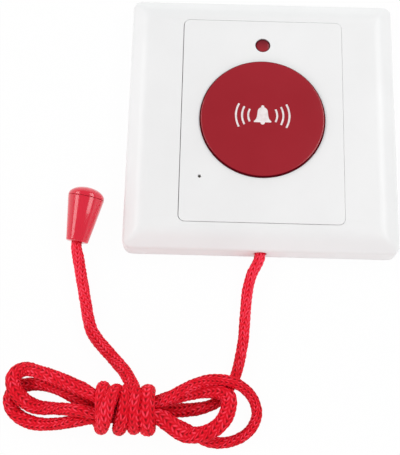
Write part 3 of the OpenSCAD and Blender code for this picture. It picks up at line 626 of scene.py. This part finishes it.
# painted shade in the crevices at the low end of the ramp, painted highlight on the leg crests at the top
cord_finish.colour(cord_finish.ramp(
    tone,
    (0.0, linear(150, 0, 12)),
    (0.3, linear(214, 4, 27)),
    (0.65, linear(241, 13, 40)),
    (1.0, linear(255, 68, 92)),
))
cord_finish.bump(do("ADD", knit_height_and_shade, do("MULTIPLY", filaments, 0.3)), 0.00015, 0.6)
dress(pull_cord, cord_finish)
print("finish:", cord_finish.material.name)

# %% [markdown]
# ## Shapes by loft
# The cover and the panel are mouldings whose sections are rounded rectangles. A box with bevels
# could do, but a loft through rounded rectangles gives each edge its own radius.

# %% Helpers for lofts
corner_steps = 10
merge_within, level_normal, large_face = 1e-7, 0.9999, 2e-5


def rounded_ring(half_x, half_y, r, z, cx=0, cy=0):
    """Points of a rounded rectangle, the same number for every ring."""
    points = []
    for k, (sx, sy) in enumerate(((1, 1), (-1, 1), (-1, -1), (1, -1))):
        for i in range(corner_steps + 1):
            a = math.pi / 2 * (k + i / corner_steps)
            points.append((
                cx + sx * (half_x - r) + r * math.cos(a), cy + sy * (half_y - r) + r * math.sin(a), z,
            ))
    return points


def shade(obj, angle=40):
    """Smooth shading, broken at edges sharper than the angle; large flat faces stay flat."""
    mesh = obj.data
    mesh.polygons.foreach_set("use_smooth", [True] * len(mesh.polygons))
    mesh.set_sharp_from_angle(angle=math.radians(angle))
    for face in mesh.polygons:
        if abs(face.normal.z) > level_normal and face.area > large_face:
            face.use_smooth = False


def outwards(obj):
    """Merges doubles and turns every face outwards."""
    bm = bmesh.new()
    bm.from_mesh(obj.data)
    bmesh.ops.remove_doubles(bm, verts=bm.verts, dist=merge_within)
    bmesh.ops.recalc_face_normals(bm, faces=bm.faces)
    bm.to_mesh(obj.data)
    bm.free()


def loft(name, rings, closed):
    """A skin through rounded rectangles (half_x, half_y, r, z) in millimetres."""
    points = [rounded_ring(*r) for r in rings]
    n = len(points[0])
    verts = [tuple(c * MM for c in p) for row in points for p in row]
    faces = []
    for i in range(len(points) if closed else len(points) - 1):
        a, b = i * n, (i + 1) % len(points) * n
        faces += [(a + k, a + (k + 1) % n, b + (k + 1) % n, b + k) for k in range(n)]
    if not closed:
        faces.append(tuple(range(n)))
        faces.append(tuple((len(points) - 1) * n + k for k in range(n)))
    obj = mesh_piece(name, verts, faces)
    outwards(obj)
    return obj


print("points in a ring:", 4 * (corner_steps + 1))

# %% [markdown]
# ## Turned pieces and cuts
# The button, the lamp and the knob are round, so each is a profile turned round its axis. Holes are
# cut with turned tools, and a cut is applied at once, so that every piece stays a plain mesh.

# %% Helpers for turned pieces and cuts
pole_r = 1e-6


def turned(name, profile, segments, place=Matrix.Identity(4)):
    """A closed profile of (radius, height) in millimetres, turned round its axis."""
    verts, rows = [], []
    for r, h in profile:
        if r < pole_r:
            rows.append([len(verts)] * segments)
            verts.append((0, 0, h))
            continue
        rows.append([len(verts) + k for k in range(segments)])
        for k in range(segments):
            a = 2 * math.pi * k / segments
            verts.append((r * math.cos(a), r * math.sin(a), h))
    faces = []
    for i in range(len(rows)):
        a, b = rows[i], rows[(i + 1) % len(rows)]
        for k in range(segments):
            m = (k + 1) % segments
            corners = list(dict.fromkeys((a[k], a[m], b[m], b[k])))
            if len(corners) > 2:
                faces.append(tuple(corners))
    obj = mesh_piece(name, [place @ (Vector(v) * MM) for v in verts], faces)
    outwards(obj)
    return obj


def arc(cx, cy, r, start, end, steps):
    """Points on an arc, angles in degrees."""
    angles = [math.radians(start + (end - start) * i / steps) for i in range(steps + 1)]
    return [(cx + r * math.cos(a), cy + r * math.sin(a)) for a in angles]


def dome(r, base, rise, steps):
    """Points of a dome's profile, from its edge to its top."""
    return [(r * x, base + rise * y) for x, y in arc(0, 0, 1, 0, 90, steps)]


def apply_modifiers(obj):
    """Turns what the modifiers make into the piece's own mesh."""
    bpy.context.view_layer.update()
    evaluated = obj.evaluated_get(bpy.context.evaluated_depsgraph_get())
    mesh = bpy.data.meshes.new_from_object(evaluated)
    obj.modifiers.clear()
    old = obj.data
    obj.data = mesh
    bpy.data.meshes.remove(old)


def cut(obj, *tools):
    """Takes the tools out of the piece and removes them."""
    for tool in tools:
        modifier = obj.modifiers.new("cut", "BOOLEAN")
        modifier.operation = "DIFFERENCE"
        modifier.solver = "EXACT"
        modifier.object = tool
    apply_modifiers(obj)
    for tool in tools:
        bpy.data.objects.remove(tool)


print("helpers ready")

# %% [markdown]
# ## Cover
# The cover is one white moulding: an upright wall, a rounding, a long bevel that runs softly into
# the face, and an opening for the panel. The loft follows the CAD profile, with the soft edges
# that a mould has: the bevel meets the face on a wide radius, and its mitres are rounded.

# %% Cover
plate_half, plate_t, side_h, edge_r, bevel = 43, 9.5, 5.5, 1.6, 32
wall, face_t, corner_r, inner_corner_r = 1.6, 1.8, 3, 1.4
# how much faster the corner's radius shrinks than the cover does round its edge
corner_fade = 1.6
panel_half_x, panel_half_y, panel_corner_r, panel_gap = 25.75, 34.7, 2, 0.14
open_at = -0.07, 0
slope = math.radians(bevel)
bevel_w = edge_r * (1 - math.sin(slope)) + (plate_t - side_h - edge_r * math.cos(slope)) / math.tan(slope)
soften_r = 7
soften = soften_r * math.tan(slope / 2)
foot_r = 0.25

cover_rings = [(plate_half - foot_r, plate_half - foot_r, corner_r - foot_r, 0)]
cover_rings += [
    (x, x, corner_r, z) for x, z in arc(plate_half - foot_r, foot_r, foot_r, -60, 0, 3)
]
for x, z in arc(plate_half - edge_r, side_h, edge_r, 0, 90 - bevel, 10):
    cover_rings.append((x, x, corner_r - corner_fade * (plate_half - x), z))
bend_x = plate_half - bevel_w
mitre_r = cover_rings[-1][2]
for x, z in arc(bend_x - soften, plate_t - soften_r, soften_r, 90 - bevel, 90, 12):
    cover_rings.append((x, x, mitre_r, z))
open_x, open_y, open_r = (v + panel_gap for v in (panel_half_x, panel_half_y, panel_corner_r))
lip_r = 0.08
for x, z in arc(lip_r, plate_t - lip_r, lip_r, 90, 180, 4):
    cover_rings.append((open_x + x, open_y + x, open_r + x, z, *open_at))
ceiling = plate_t - face_t
inner_half = plate_half - wall
inner_h = plate_t - (bevel_w - wall) * math.tan(slope) - wall / math.cos(slope)
inner_top = inner_half - (ceiling - inner_h) / math.tan(slope)
cover_rings += [
    (open_x, open_y, open_r, ceiling, *open_at),
    (inner_top, inner_top, inner_corner_r, ceiling),
    (inner_half, inner_half, inner_corner_r, inner_h),
    (inner_half, inner_half, inner_corner_r, 0),
]
cover = loft("cover", cover_rings, closed=True)

hole_clear, hole_soft, hole_in, hole_out = 0.4, 0.15, -3, 2
cord_hole_r = cord_d / 2 + hole_clear
hole_mouth_r = cord_hole_r + hole_soft
hole_place = Matrix.Translation((0, -plate_half * MM, cord_z * MM))
hole_place = hole_place @ Matrix.Rotation(math.pi / 2, 4, "X")
hole_profile = [(0, hole_in), (cord_hole_r, hole_in), (cord_hole_r, -hole_soft)]
hole_profile += [(hole_mouth_r, 0), (hole_mouth_r, hole_out), (0, hole_out)]
cut(cover, turned("cord_hole", hole_profile, 48, hole_place))
shade(cover)
print("cover faces:", len(cover.data.polygons))

# %% [markdown]
# ## Insert panel
# The panel is a separate plate in the cover's opening. Its fine groove is a real gap, and the plate
# sits a little to the right in it, so the groove shows most on the left. The round openings for the
# button, the lamp and the pin are cut with tools that also break their edges.

# %% Insert panel
panel_lip, panel_lip_t, panel_proud = 1.5, 0.8, 0.12
panel_back, panel_front = ceiling - panel_lip_t, plate_t + panel_proud
button_r, button_gap, button_flare = 20, 0.08, 0.12
led_y, led_r, led_gap, led_flare = 26, 2.4, 0.05, 0.08
pin_x, pin_y, pin_r, pin_flare = -19.55, -19.9, 0.47, 0.45
soft_r = 0.08

panel_edge = [(panel_lip, panel_back), (panel_lip, ceiling), (0, ceiling)]
panel_edge += arc(-soft_r, panel_front - soft_r, soft_r, 0, 90, 5)
panel_rings = [(panel_half_x + x, panel_half_y + x, panel_corner_r + x, z) for x, z in panel_edge]
panel = loft("panel", panel_rings, closed=False)
tool_spare = 1


def hole_tool(name, x, y, r, soft, segments):
    """A drill with a flare that breaks the edge of its hole."""
    low, high = panel_back - tool_spare, panel_front + tool_spare
    flare = [(r + soft - x, z) for x, z in arc(0, panel_front - soft, soft, 0, 90, 4)][::-1]
    profile = [(0, low), (r, low)] + flare + [(r + soft, high), (0, high)]
    return turned(name, profile, segments, Matrix.Translation((x * MM, y * MM, 0)))


cut(
    panel,
    hole_tool("button_hole", 0, 0, button_r + button_gap, button_flare, 160),
    hole_tool("lamp_hole", 0, led_y, led_r + led_gap, led_flare, 64),
    hole_tool("pin_hole", pin_x, pin_y, pin_r, pin_flare, 32),
)
shade(panel)
print("panel faces:", len(panel.data.polygons))

# %% [markdown]
# ## Push button
# The button is a moulded cap, about a millimetre proud, with a rounded rim and a low crown. It is
# turned from one profile. Its edge is soft, because that is where the light draws a thin line.

# %% Push button
button_proud, button_crown, rim_r, button_wall = 0.9, 0.3, 0.8, 1.5
button_flange, flange_t, flange_gap = 1.4, 0.9, 0.1
rim_z = panel_front + button_proud
flange_top = panel_back - flange_gap
flange_bottom = flange_top - flange_t
flange_r, button_inner_r = button_r + button_flange, button_r - button_wall
crown_half = button_r - rim_r
crown_steps = 12


def crown_z(r):
    """Height of the button's face at a distance from its centre."""
    return rim_z + button_crown * (1 - (r / crown_half) ** 2)


crown_radii = [crown_half * i / crown_steps for i in range(crown_steps)]
button_profile = [(r, crown_z(r)) for r in crown_radii]
button_profile += arc(crown_half, rim_z - rim_r, rim_r, 88, 0, 8)
button_profile += [
    (button_r, flange_top), (flange_r, flange_top), (flange_r, flange_bottom),
    (button_inner_r, flange_bottom), (button_inner_r, rim_z - button_wall), (0, rim_z - button_wall),
]
button_cap = turned("button_cap", button_profile, 160)
shade(button_cap)
print("button faces:", len(button_cap.data.polygons))

# %% [markdown]
# ## Lamp and knob
# The lamp is a small epoxy lens behind its hole. The knob is two glossy mouldings on the cord's
# end: a tapered body with a bore at its narrow end, and a domed cap, with a fine groove between.
# It lies on its side, so it is turned about its own axis and then laid down.

# %% Lamp lens and knob
board_top = 3
lens_sunk, lens_dome, seat_rim, seat_h = 0.15, 0.45, 0.4, 0.8
seat_r, seat_top = led_r + seat_rim, board_top + seat_h
lens_profile = [(0, board_top), (seat_r, board_top), (seat_r, seat_top), (led_r, seat_top)]
lens_profile += dome(led_r, panel_front - lens_sunk - lens_dome, lens_dome, 15)
lamp_lens = turned("lamp_lens", lens_profile, 64)
lamp_lens.data.transform(Matrix.Translation((0, led_y * MM, 0)))
shade(lamp_lens)

knob_place = (
    Matrix.Translation(Vector(knob_at) * MM)
    @ Matrix.Rotation(-knob_turn, 4, "Z")
    @ Matrix.Rotation(knob_lean - math.pi / 2, 4, "X")
)
bore_clear, bore_soft, neck_soft, end_soft = 0.25, 0.25, 0.5, 0.12
knob_r, neck_r, bore_r, room_r = knob_d / 2, knob_neck_d / 2, cord_d / 2 + bore_clear, 3.2
body_profile = [(bore_r, bore_soft), (bore_r + bore_soft, 0)]
body_profile += arc(neck_r - neck_soft, neck_soft, neck_soft, -90, 0, 6)
body_profile += arc(knob_r - end_soft, knob_l - end_soft, end_soft, 0, 90, 4)
body_profile += [(room_r, knob_l), (room_r, knob_bore_l), (bore_r, knob_bore_l)]
knob_body = turned("knob_body_shell", body_profile, 96, knob_place)
shade(knob_body)

groove, cap_h, cap_soft = 0.12, 3.5, 0.14
cap_base = knob_l + groove
dome_z = cap_base + 2 * cap_soft
cap_profile = [(0, cap_base)] + arc(knob_r - cap_soft, cap_base + cap_soft, cap_soft, -90, 0, 4)
cap_profile += dome(knob_r, dome_z, knob_l + cap_h - dome_z, 18)
knob_cap = turned("knob_cap_shell", cap_profile, 96, knob_place)
shade(knob_cap)
print("knob faces:", len(knob_body.data.polygons) + len(knob_cap.data.polygons))

# %% [markdown]
# ## Bell sign
# A white sign is printed on the button: a bell with sound arcs. The arcs repeat at growing radii,
# so a node tree draws them: each is a curve swept by a flat strip, copied to the other side by a
# half turn, and dropped onto the crown.

# %% Sound arcs as a node tree
arc_count, arc_points = 3, 24
arc_sizes = ("First radius", "Gap", "Stroke", "Thickness", "Sweep", "Rim height", "Crown", "Crown reach")


def arc_tree():
    """Sizes come in metres and degrees as named inputs."""
    tree = bpy.data.node_groups.new("sound_arcs", "GeometryNodeTree")
    socket = tree.interface.new_socket
    for label in arc_sizes:
        socket(label, in_out="INPUT", socket_type="NodeSocketFloat")
    socket("Ink", in_out="INPUT", socket_type="NodeSocketMaterial")
    socket("Geometry", in_out="OUTPUT", socket_type="NodeSocketGeometry")
    add, link = tree.nodes.new, tree.links.new
    given = add("NodeGroupInput").outputs

    def sum_of(kind, a, b):
        made = add("ShaderNodeMath")
        made.operation = kind
        for slot_in, value in zip(made.inputs, (a, b)):
            if isinstance(value, bpy.types.NodeSocket):
                link(value, slot_in)
            else:
                slot_in.default_value = value
        return made.outputs[0]

    strip = add("GeometryNodeCurvePrimitiveQuadrilateral")
    link(given["Stroke"], strip.inputs["Width"])
    link(given["Thickness"], strip.inputs["Height"])
    join = add("GeometryNodeJoinGeometry")
    sweep = sum_of("RADIANS", given["Sweep"], 0)
    for i in range(arc_count):
        line = add("GeometryNodeCurveArc")
        line.inputs["Resolution"].default_value = arc_points
        further = sum_of("MULTIPLY", given["Gap"], i)
        link(sum_of("ADD", given["First radius"], further), line.inputs["Radius"])
        link(sum_of("MULTIPLY", sweep, -0.5), line.inputs["Start Angle"])
        link(sweep, line.inputs["Sweep Angle"])
        sweep_mesh = add("GeometryNodeCurveToMesh")
        sweep_mesh.inputs["Fill Caps"].default_value = True
        link(line.outputs["Curve"], sweep_mesh.inputs["Curve"])
        link(strip.outputs["Curve"], sweep_mesh.inputs["Profile Curve"])
        link(sweep_mesh.outputs["Mesh"], join.inputs["Geometry"])
    half_turn = add("GeometryNodeTransform")
    half_turn.inputs["Rotation"].default_value = (0, 0, math.pi)
    link(join.outputs["Geometry"], half_turn.inputs["Geometry"])
    both = add("GeometryNodeJoinGeometry")
    link(join.outputs["Geometry"], both.inputs["Geometry"])
    link(half_turn.outputs["Geometry"], both.inputs["Geometry"])

    split = add("ShaderNodeSeparateXYZ")
    link(add("GeometryNodeInputPosition").outputs["Position"], split.inputs[0])
    squares = [sum_of("POWER", split.outputs[axis], 2) for axis in ("X", "Y")]
    across = sum_of("ADD", *squares)
    fall = sum_of("DIVIDE", across, sum_of("POWER", given["Crown reach"], 2))
    drop = sum_of("SUBTRACT", given["Crown"], sum_of("MULTIPLY", given["Crown"], fall))
    lift = add("ShaderNodeCombineXYZ")
    link(sum_of("ADD", given["Rim height"], drop), lift.inputs["Z"])
    settle = add("GeometryNodeSetPosition")
    link(both.outputs["Geometry"], settle.inputs["Geometry"])
    link(lift.outputs[0], settle.inputs["Offset"])
    real = add("GeometryNodeRealizeInstances")
    link(settle.outputs["Geometry"], real.inputs["Geometry"])
    ink = add("GeometryNodeSetMaterial")
    link(real.outputs["Geometry"], ink.inputs["Geometry"])
    link(given["Ink"], ink.inputs["Material"])
    link(ink.outputs["Geometry"], add("NodeGroupOutput").inputs["Geometry"])
    return tree


sound_tree = arc_tree()
print("nodes in the tree:", len(sound_tree.nodes))

# %% [markdown]
# ## Printed ink
# The ink is an off-white with a trace of unevenness. The tree gets its sizes and the ink by the
# identifiers of its inputs, and its result is kept as a plain mesh.

# %% Draw the sound arcs
ink_t, sign_up = 0.04, 0.6
arc_start, arc_gap, arc_width, arc_sweep = 4.6, 1.95, 0.62, 56


def from_tree(name, tree, **values):
    """The tree's result as a plain mesh, with its inputs set by their identifiers."""
    obj = mesh_piece(name, [], [])
    modifier = obj.modifiers.new("tree", "NODES")
    modifier.node_group = tree
    for item in tree.interface.items_tree:
        key = item.name.replace(" ", "_")
        if item.in_out == "INPUT" and key in values:
            modifier[item.identifier] = values[key]
    apply_modifiers(obj)
    outwards(obj)
    return obj


ink_finish = Finish("printed_ink", 0.5)
ink_finish.colour(ink_finish.ramp(
    ink_finish.noise(900, 3.0), (0.3, linear(226, 214, 214)), (0.7, linear(244, 238, 238)),
))
sound_arcs = from_tree(
    "sound_arcs", sound_tree, First_radius=arc_start * MM, Gap=arc_gap * MM, Stroke=arc_width * MM,
    Thickness=ink_t * MM, Sweep=float(arc_sweep), Rim_height=rim_z * MM, Crown=button_crown * MM,
    Crown_reach=crown_half * MM, Ink=ink_finish.material,
)
print("arc faces:", len(sound_arcs.data.polygons))

# %% [markdown]
# ## Bell
# The bell itself is one outline, filled and given the thickness of the ink.

# %% Bell
bell_up = 0.2
bell_right = [(0.0, 3.3), (0.32, 3.22), (0.5, 2.95), (0.46, 2.68)]
bell_right += arc(0, 1.05, 1.62, 72, 8, 8)
bell_right += [(1.7, 0.2), (1.82, -0.6), (2.05, -1.3), (2.45, -1.85), (2.75, -2.15)]
bell_right += [(2.8, -2.4), (2.65, -2.55), (0.75, -2.55)]
bell_right += arc(0, -2.6, 0.72, 0, -90, 6)
bell_outline = bell_right + [(-x, y) for x, y in bell_right[-2:0:-1]]
bell_n = len(bell_outline)
bell_verts = []
for shift in (ink_t / 2, -ink_t / 2):
    bell_verts += [
        (x * MM, (y + bell_up) * MM, (crown_z(math.hypot(x, y)) + shift) * MM) for x, y in bell_outline
    ]
bell_faces = [tuple(range(bell_n)), tuple(range(2 * bell_n - 1, bell_n - 1, -1))]
bell_faces += [(k, bell_n + k, bell_n + (k + 1) % bell_n, (k + 1) % bell_n) for k in range(bell_n)]
bell = mesh_piece("bell_sign", bell_verts, bell_faces)
outwards(bell)
for piece in (bell, sound_arcs):
    piece.data.transform(Matrix.Translation((0, sign_up * MM, 0)))
    dress(piece, ink_finish)
print("bell points:", bell_n)

# %% [markdown]
# ## White plastic
# The cover and panel are white moulded plastic with a fine satin grain. The colour is a clean
# white with a trace of variation, and the roughness varies a little, as on a handled surface.

# %% Finish of the white plastic
def moulded(name, dark, light, roughness, grain=2600, grain_depth=0.000006, spread=0.06, **sockets):
    """Moulded plastic: two near tones mixed by a slow noise, and a fine grain."""
    finish = Finish(name, roughness, **sockets)
    slow = finish.noise(45, 3.0)
    finish.colour(finish.ramp(slow, (0.3, dark), (0.7, light)))
    finish.rough(finish.spread(finish.noise(120, 4.0), roughness - spread, roughness + spread))
    finish.bump(finish.noise(grain, 2.0), grain_depth, 0.5)
    return finish


white_finish = moulded("white_satin_plastic", linear(237, 238, 238), linear(241, 242, 242), 0.38)
dress(cover, white_finish)
dress(panel, white_finish)
print("finish:", white_finish.material.name)

# %% [markdown]
# ## Red plastics
# The button is a satin dark crimson, with painted shade and duller gloss at its edge, where it dips into
# its hole. The knob is a polished brighter red, and the lamp a tinted lens with painted shade towards its
# far side and round its edge.

# %% Finishes of the button, the knob and the lamp
def edge_shade(finish, centre, start, end, dark):
    """Painted shade and duller gloss on a round piece at its edge, from start to end radius in
    millimetres.
    """
    shift = (-centre[0] * MM, -centre[1] * MM, 0)
    flat = finish.node("ShaderNodeMapping", Vector=finish.coords, Location=shift, Scale=(1, 1, 0))
    reach = finish.node("ShaderNodeVectorMath", OPERATION="LENGTH", i0=flat.outputs[0])
    painted_shade_share = finish.spread(reach.outputs["Value"], 0.0, 1.0, start * MM, end * MM)
    plain = finish.shader.inputs["Base Color"].links[0].from_socket
    mix = finish.node("ShaderNodeMix", DATA_TYPE="RGBA", Factor=painted_shade_share, i6=plain, i7=dark)
    finish.colour(mix.outputs[2])
    gloss = finish.shader.inputs["Specular IOR Level"]
    finish.tree.links.new(finish.spread(painted_shade_share, gloss.default_value, 0.0), gloss)


button_finish = moulded(
    "crimson_satin_plastic", linear(154, 22, 36), linear(159, 26, 40), 0.22, grain=3200,
    grain_depth=0.000008, Specular_IOR_Level=0.45,
)
# painted shade round the button's edge, where it dips into its hole
edge_shade(button_finish, (0, 0), button_r - 0.45, button_r - 0.3, linear(84, 6, 18))
dress(button_cap, button_finish)

knob_finish = moulded(
    "red_gloss_plastic", linear(220, 27, 54), linear(228, 33, 60), 0.14, grain=500,
    grain_depth=0.000010, spread=0.03, Coat_Weight=0.4, Coat_Roughness=0.06,
)
dress(knob_body, knob_finish)
dress(knob_cap, knob_finish)

lamp_finish = Finish("tinted_lens", 0.2, Specular_IOR_Level=0.3)
lamp_place = lamp_finish.node("ShaderNodeSeparateXYZ", Vector=lamp_finish.coords).outputs["Y"]
lamp_low, lamp_high = (led_y - led_r) * MM, (led_y + led_r) * MM
# painted shade: the lens darkens towards its far side; the grain below is its own random tone
lamp_far_shade = lamp_finish.spread(lamp_place, 0.0, 1.0, lamp_low, lamp_high)
lamp_grain = lamp_finish.spread(lamp_finish.noise(700), -0.08, 0.08)
lamp_shade_and_grain = lamp_finish.math("ADD", lamp_far_shade, lamp_grain)
lamp_finish.colour(lamp_finish.ramp(
    lamp_shade_and_grain, (0.0, linear(166, 46, 54)), (0.5, linear(142, 36, 46)), (1.0, linear(100, 22, 34)),
))
# painted shade round the lens's edge
edge_shade(lamp_finish, (0, led_y), led_r - 0.6, led_r, linear(76, 14, 24))
dress(lamp_lens, lamp_finish)
print("red finishes: 3")

# %% [markdown]
# ## Pieces that stay as the CAD has them
# The back plate, the board and what is on it are right as they are, so they keep their solids and
# get finishes: matt plastic, green board with tracks, metals with a drawn grain.

# %% Finishes of the inner pieces
grain_tone, grain_rough = 0.8, 0.08


def metal(name, tone, roughness, stretch):
    """Metal with a grain drawn along one direction."""
    finish = Finish(name, roughness, Metallic=1.0)
    drawn = finish.node("ShaderNodeMapping", Vector=finish.coords, Scale=stretch)
    grain = finish.noise(900, 3.0, 0.6, drawn.outputs["Vector"])
    darker = tuple(c * grain_tone for c in tone[:3]) + (1.0,)
    finish.colour(finish.ramp(grain, (0.3, darker), (0.7, tone)))
    finish.rough(finish.spread(grain, roughness - grain_rough, roughness + grain_rough))
    finish.bump(grain, 0.000004, 0.4)
    return finish


def board_finish():
    """Solder mask with tracks."""
    finish = Finish("green_board", 0.35)
    tracks = finish.node(
        "ShaderNodeTexBrick", Vector=finish.coords, Scale=110.0, Color1=linear(28, 92, 58),
        Color2=linear(24, 84, 52), Mortar=linear(62, 132, 84), **{"Mortar Size": 0.03},
    )
    finish.colour(tracks.outputs["Color"])
    finish.bump(tracks.outputs["Fac"], 0.00003, 0.5)
    return finish


base_finish = moulded("white_matt_plastic", linear(224, 224, 220), linear(231, 231, 227), 0.55)
black_finish = moulded("black_moulding", linear(30, 30, 32), linear(38, 38, 40), 0.5)
tan_finish = moulded("tan_moulding", linear(238, 216, 172), linear(243, 223, 182), 0.5)
nylon_finish = moulded("white_nylon", linear(228, 226, 216), linear(236, 234, 226), 0.5)
steel_finish = metal("bright_steel", linear(205, 207, 210), 0.28, (1, 1, 6))
copper_finish = metal("copper_wire", linear(196, 128, 72), 0.3, (1, 5, 1))
strip_finish = metal("gilt_strip", linear(214, 190, 126), 0.3, (6, 1, 1))
green_finish = board_finish()
knot_finish = moulded(
    "knotted_polyester", linear(180, 2, 18), linear(236, 22, 48), 0.6, grain=700, grain_depth=0.0001,
)
kept = {
    "back_plate": base_finish, "circuit_board": green_finish, "encoder_chip": black_finish,
    "radio_crystal": steel_finish, "antenna_coil": copper_finish, "battery_holder": black_finish,
    "battery_contact": strip_finish, "coin_cell": steel_finish, "board_screws": steel_finish,
    "call_switch_body": black_finish, "pair_switch_body": black_finish,
    "pull_switch_body": black_finish, "call_switch_plunger": nylon_finish,
    "pull_switch_plunger": nylon_finish, "pair_switch_stem": tan_finish,
    "cord_slider": nylon_finish, "cord_knot": knot_finish, "knob_knot": knot_finish,
}
for name, finish in kept.items():
    dress(nodes[name], finish)
print("kept CAD nodes:", len(kept))

# %% [markdown]
# ## Return springs
# Two steel springs bring the button and the slider of the cord back. A spring has to get shorter
# when its piece moves, and a CAD solid can't; each is wound anew here at its rest length. Its end
# turns lie close, as on a real compression spring, and the turns between them are open.

# %% Wind the springs
wire_sides, steps_per_turn, touch_gap, closed_pitch = 10, 40, 0.05, 1.05
button_room = rim_z - button_wall - board_top
slider_room, slider_wall_y, slider_travel, button_travel = 6.4, -inner_half, 3.6, 1.0


def coil(name, mean_r, wire, room, turns, place):
    """A compression spring that fills a room along Z, in millimetres, then put in its place."""
    at_turn = np.linspace(0, turns, turns * steps_per_turn + 1)
    rise = room - 2 * touch_gap - wire
    closed = closed_pitch * wire
    z = np.interp(at_turn, [0, 1, turns - 1, turns], [0, closed, rise - closed, rise])
    a = 2 * np.pi * at_turn
    line = np.column_stack([mean_r * np.cos(a), mean_r * np.sin(a), z + touch_gap + wire / 2])
    skin = rings_round(line, 2 * np.pi * np.arange(wire_sides) / wire_sides)[1]
    verts = (line[:, None, :] + wire / 2 * skin).reshape(-1, 3)
    faces = tube_faces(len(line), wire_sides)
    obj = mesh_piece(name, [place @ (Vector(p) * MM) for p in verts], faces)
    outwards(obj)
    shade(obj)
    return dress(obj, steel_finish)


button_spring = coil(
    "button_return_spring", mean_r=6, wire=0.6, room=button_room, turns=5,
    place=Matrix.Translation((0, 0, board_top * MM)),
)
slider_place = Matrix.Translation((0, slider_wall_y * MM, cord_z * MM))
pull_spring = coil(
    "pull_return_spring", mean_r=2.35, wire=0.5, room=slider_room, turns=4,
    place=slider_place @ Matrix.Rotation(-math.pi / 2, 4, "X"),
)
print("spring rooms mm:", round(button_room, 2), slider_room)

# %% [markdown]
# ## What moves with what
# Each new piece rides on the CAD body it belongs to and replaces the node it stands for. The springs
# stay on the housing.

# %% Ride and replace
riders = [
    (cover, "housing", ["front_cover"]),
    (panel, "housing", ["insert_panel"]),
    (lamp_lens, "housing", ["indicator_led"]),
    (button_cap, "button", ["push_button"]),
    (bell, "button", []),
    (sound_arcs, "button", []),
    (pull_cord, "pull", ["cord_lead", "cord_hank", "cord_tail"]),
    (knob_body, "pull", ["knob_body"]),
    (knob_cap, "pull", ["knob_cap"]),
    (button_spring, "housing", ["button_spring"]),
    (pull_spring, "housing", ["pull_spring"]),
]
for piece, body, replaced in riders:
    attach(piece, body)
    if replaced:
        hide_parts(*replaced)
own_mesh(button_spring)
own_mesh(pull_spring)

print("riders:", len(riders))

# %% [markdown]
# ## Floor
# The photograph is a studio shot on white, and the shadow is almost gone. The camera sees the floor
# as nearly pure white, with a little of its real shading kept for the shadow. A white lamp on the
# floor would do this too, but it would also burn out the white cover.

# %% Floor
floor_half = 3.0
floor_z = -0.0001
floor = mesh_piece(
    "floor",
    [(x * floor_half, y * floor_half, floor_z) for x, y in ((-1, -1), (1, -1), (1, 1), (-1, 1))],
    [(0, 1, 2, 3)],
)

SEEN_WHITE = 0.97
floor_finish = Finish("white_sweep", 0.9, Base_Color=(0.9, 0.9, 0.9, 1), Specular_IOR_Level=0.0)
# 1 for rays from the camera, or from gloss and glass that show the background
ray = floor_finish.node("ShaderNodeLightPath").outputs
seen = ray["Is Camera Ray"]
for kind in ("Is Glossy Ray", "Is Transmission Ray"):
    seen = floor_finish.math("MAXIMUM", seen, ray[kind])
floor_mix = floor_finish.node(
    "ShaderNodeMixShader", Fac=floor_finish.math("MULTIPLY", seen, SEEN_WHITE),
    i1=floor_finish.shader.outputs[0], i2=floor_finish.node("ShaderNodeEmission").outputs[0],
)
floor_surface = floor_finish.tree.nodes["Material Output"].inputs["Surface"]
floor_finish.tree.links.new(floor_mix.outputs[0], floor_surface)
dress(floor, floor_finish)
print("floor side m:", 2 * floor_half)

# %% [markdown]
# ## Light
# The room is bright at the horizon and dim above, so that the cover's walls and bevels stay apart.
# Two soft boxes at the sides draw the bright bands on the knob, and a weak pink fill in front
# stands for the light that the red cord throws back.

# %% World and lamps
HORIZON, CEILING = 1.0, 0.34
world = bpy.data.worlds.new("white_studio")
bpy.context.scene.world = world
world.use_nodes = True
world_nodes, world_links = world.node_tree.nodes, world.node_tree.links
sky = world_nodes["Background"]
sky.inputs["Color"].default_value = (1, 1, 1, 1)
look = world_nodes.new("ShaderNodeTexCoord")
height = world_nodes.new("ShaderNodeSeparateXYZ")
world_links.new(look.outputs["Generated"], height.inputs[0])
level_mix = world_nodes.new("ShaderNodeMapRange")
level_mix.interpolation_type = "SMOOTHSTEP"
world_links.new(height.outputs["Z"], level_mix.inputs["Value"])
for socket, value in (("From Min", 0.15), ("From Max", 0.5), ("To Min", HORIZON), ("To Max", CEILING)):
    level_mix.inputs[socket].default_value = value
world_links.new(level_mix.outputs[0], sky.inputs["Strength"])


def soft_box(name, place, aim, size, watts, colour=(1, 1, 1)):
    """A rectangular lamp at a place, turned to a point."""
    data = bpy.data.lights.new(name, "AREA")
    data.shape = "RECTANGLE"
    data.size, data.size_y = size
    data.energy = watts
    data.color = colour
    lamp = bpy.data.objects.new(name, data)
    bpy.context.scene.collection.objects.link(lamp)
    lamp.location = place
    lamp.rotation_euler = (Vector(aim) - Vector(place)).to_track_quat("-Z", "Y").to_euler()


side_aim, side_size, fill_aim, fill_size = (-0.04, 0.2, 0), (0.7, 0.3), (-0.03, -0.04, 0), (0.6, 0.12)
warm_pink = (1, 0.84, 0.86)
soft_box("left_box", (-0.58, 0.2, 0.46), side_aim, side_size, watts=2.3)
soft_box("right_box", (0.42, 0.2, 0.5), side_aim, side_size, watts=2.45)
soft_box("front_fill", (-0.12, -0.42, 0.18), fill_aim, fill_size, watts=0.5, colour=warm_pink)
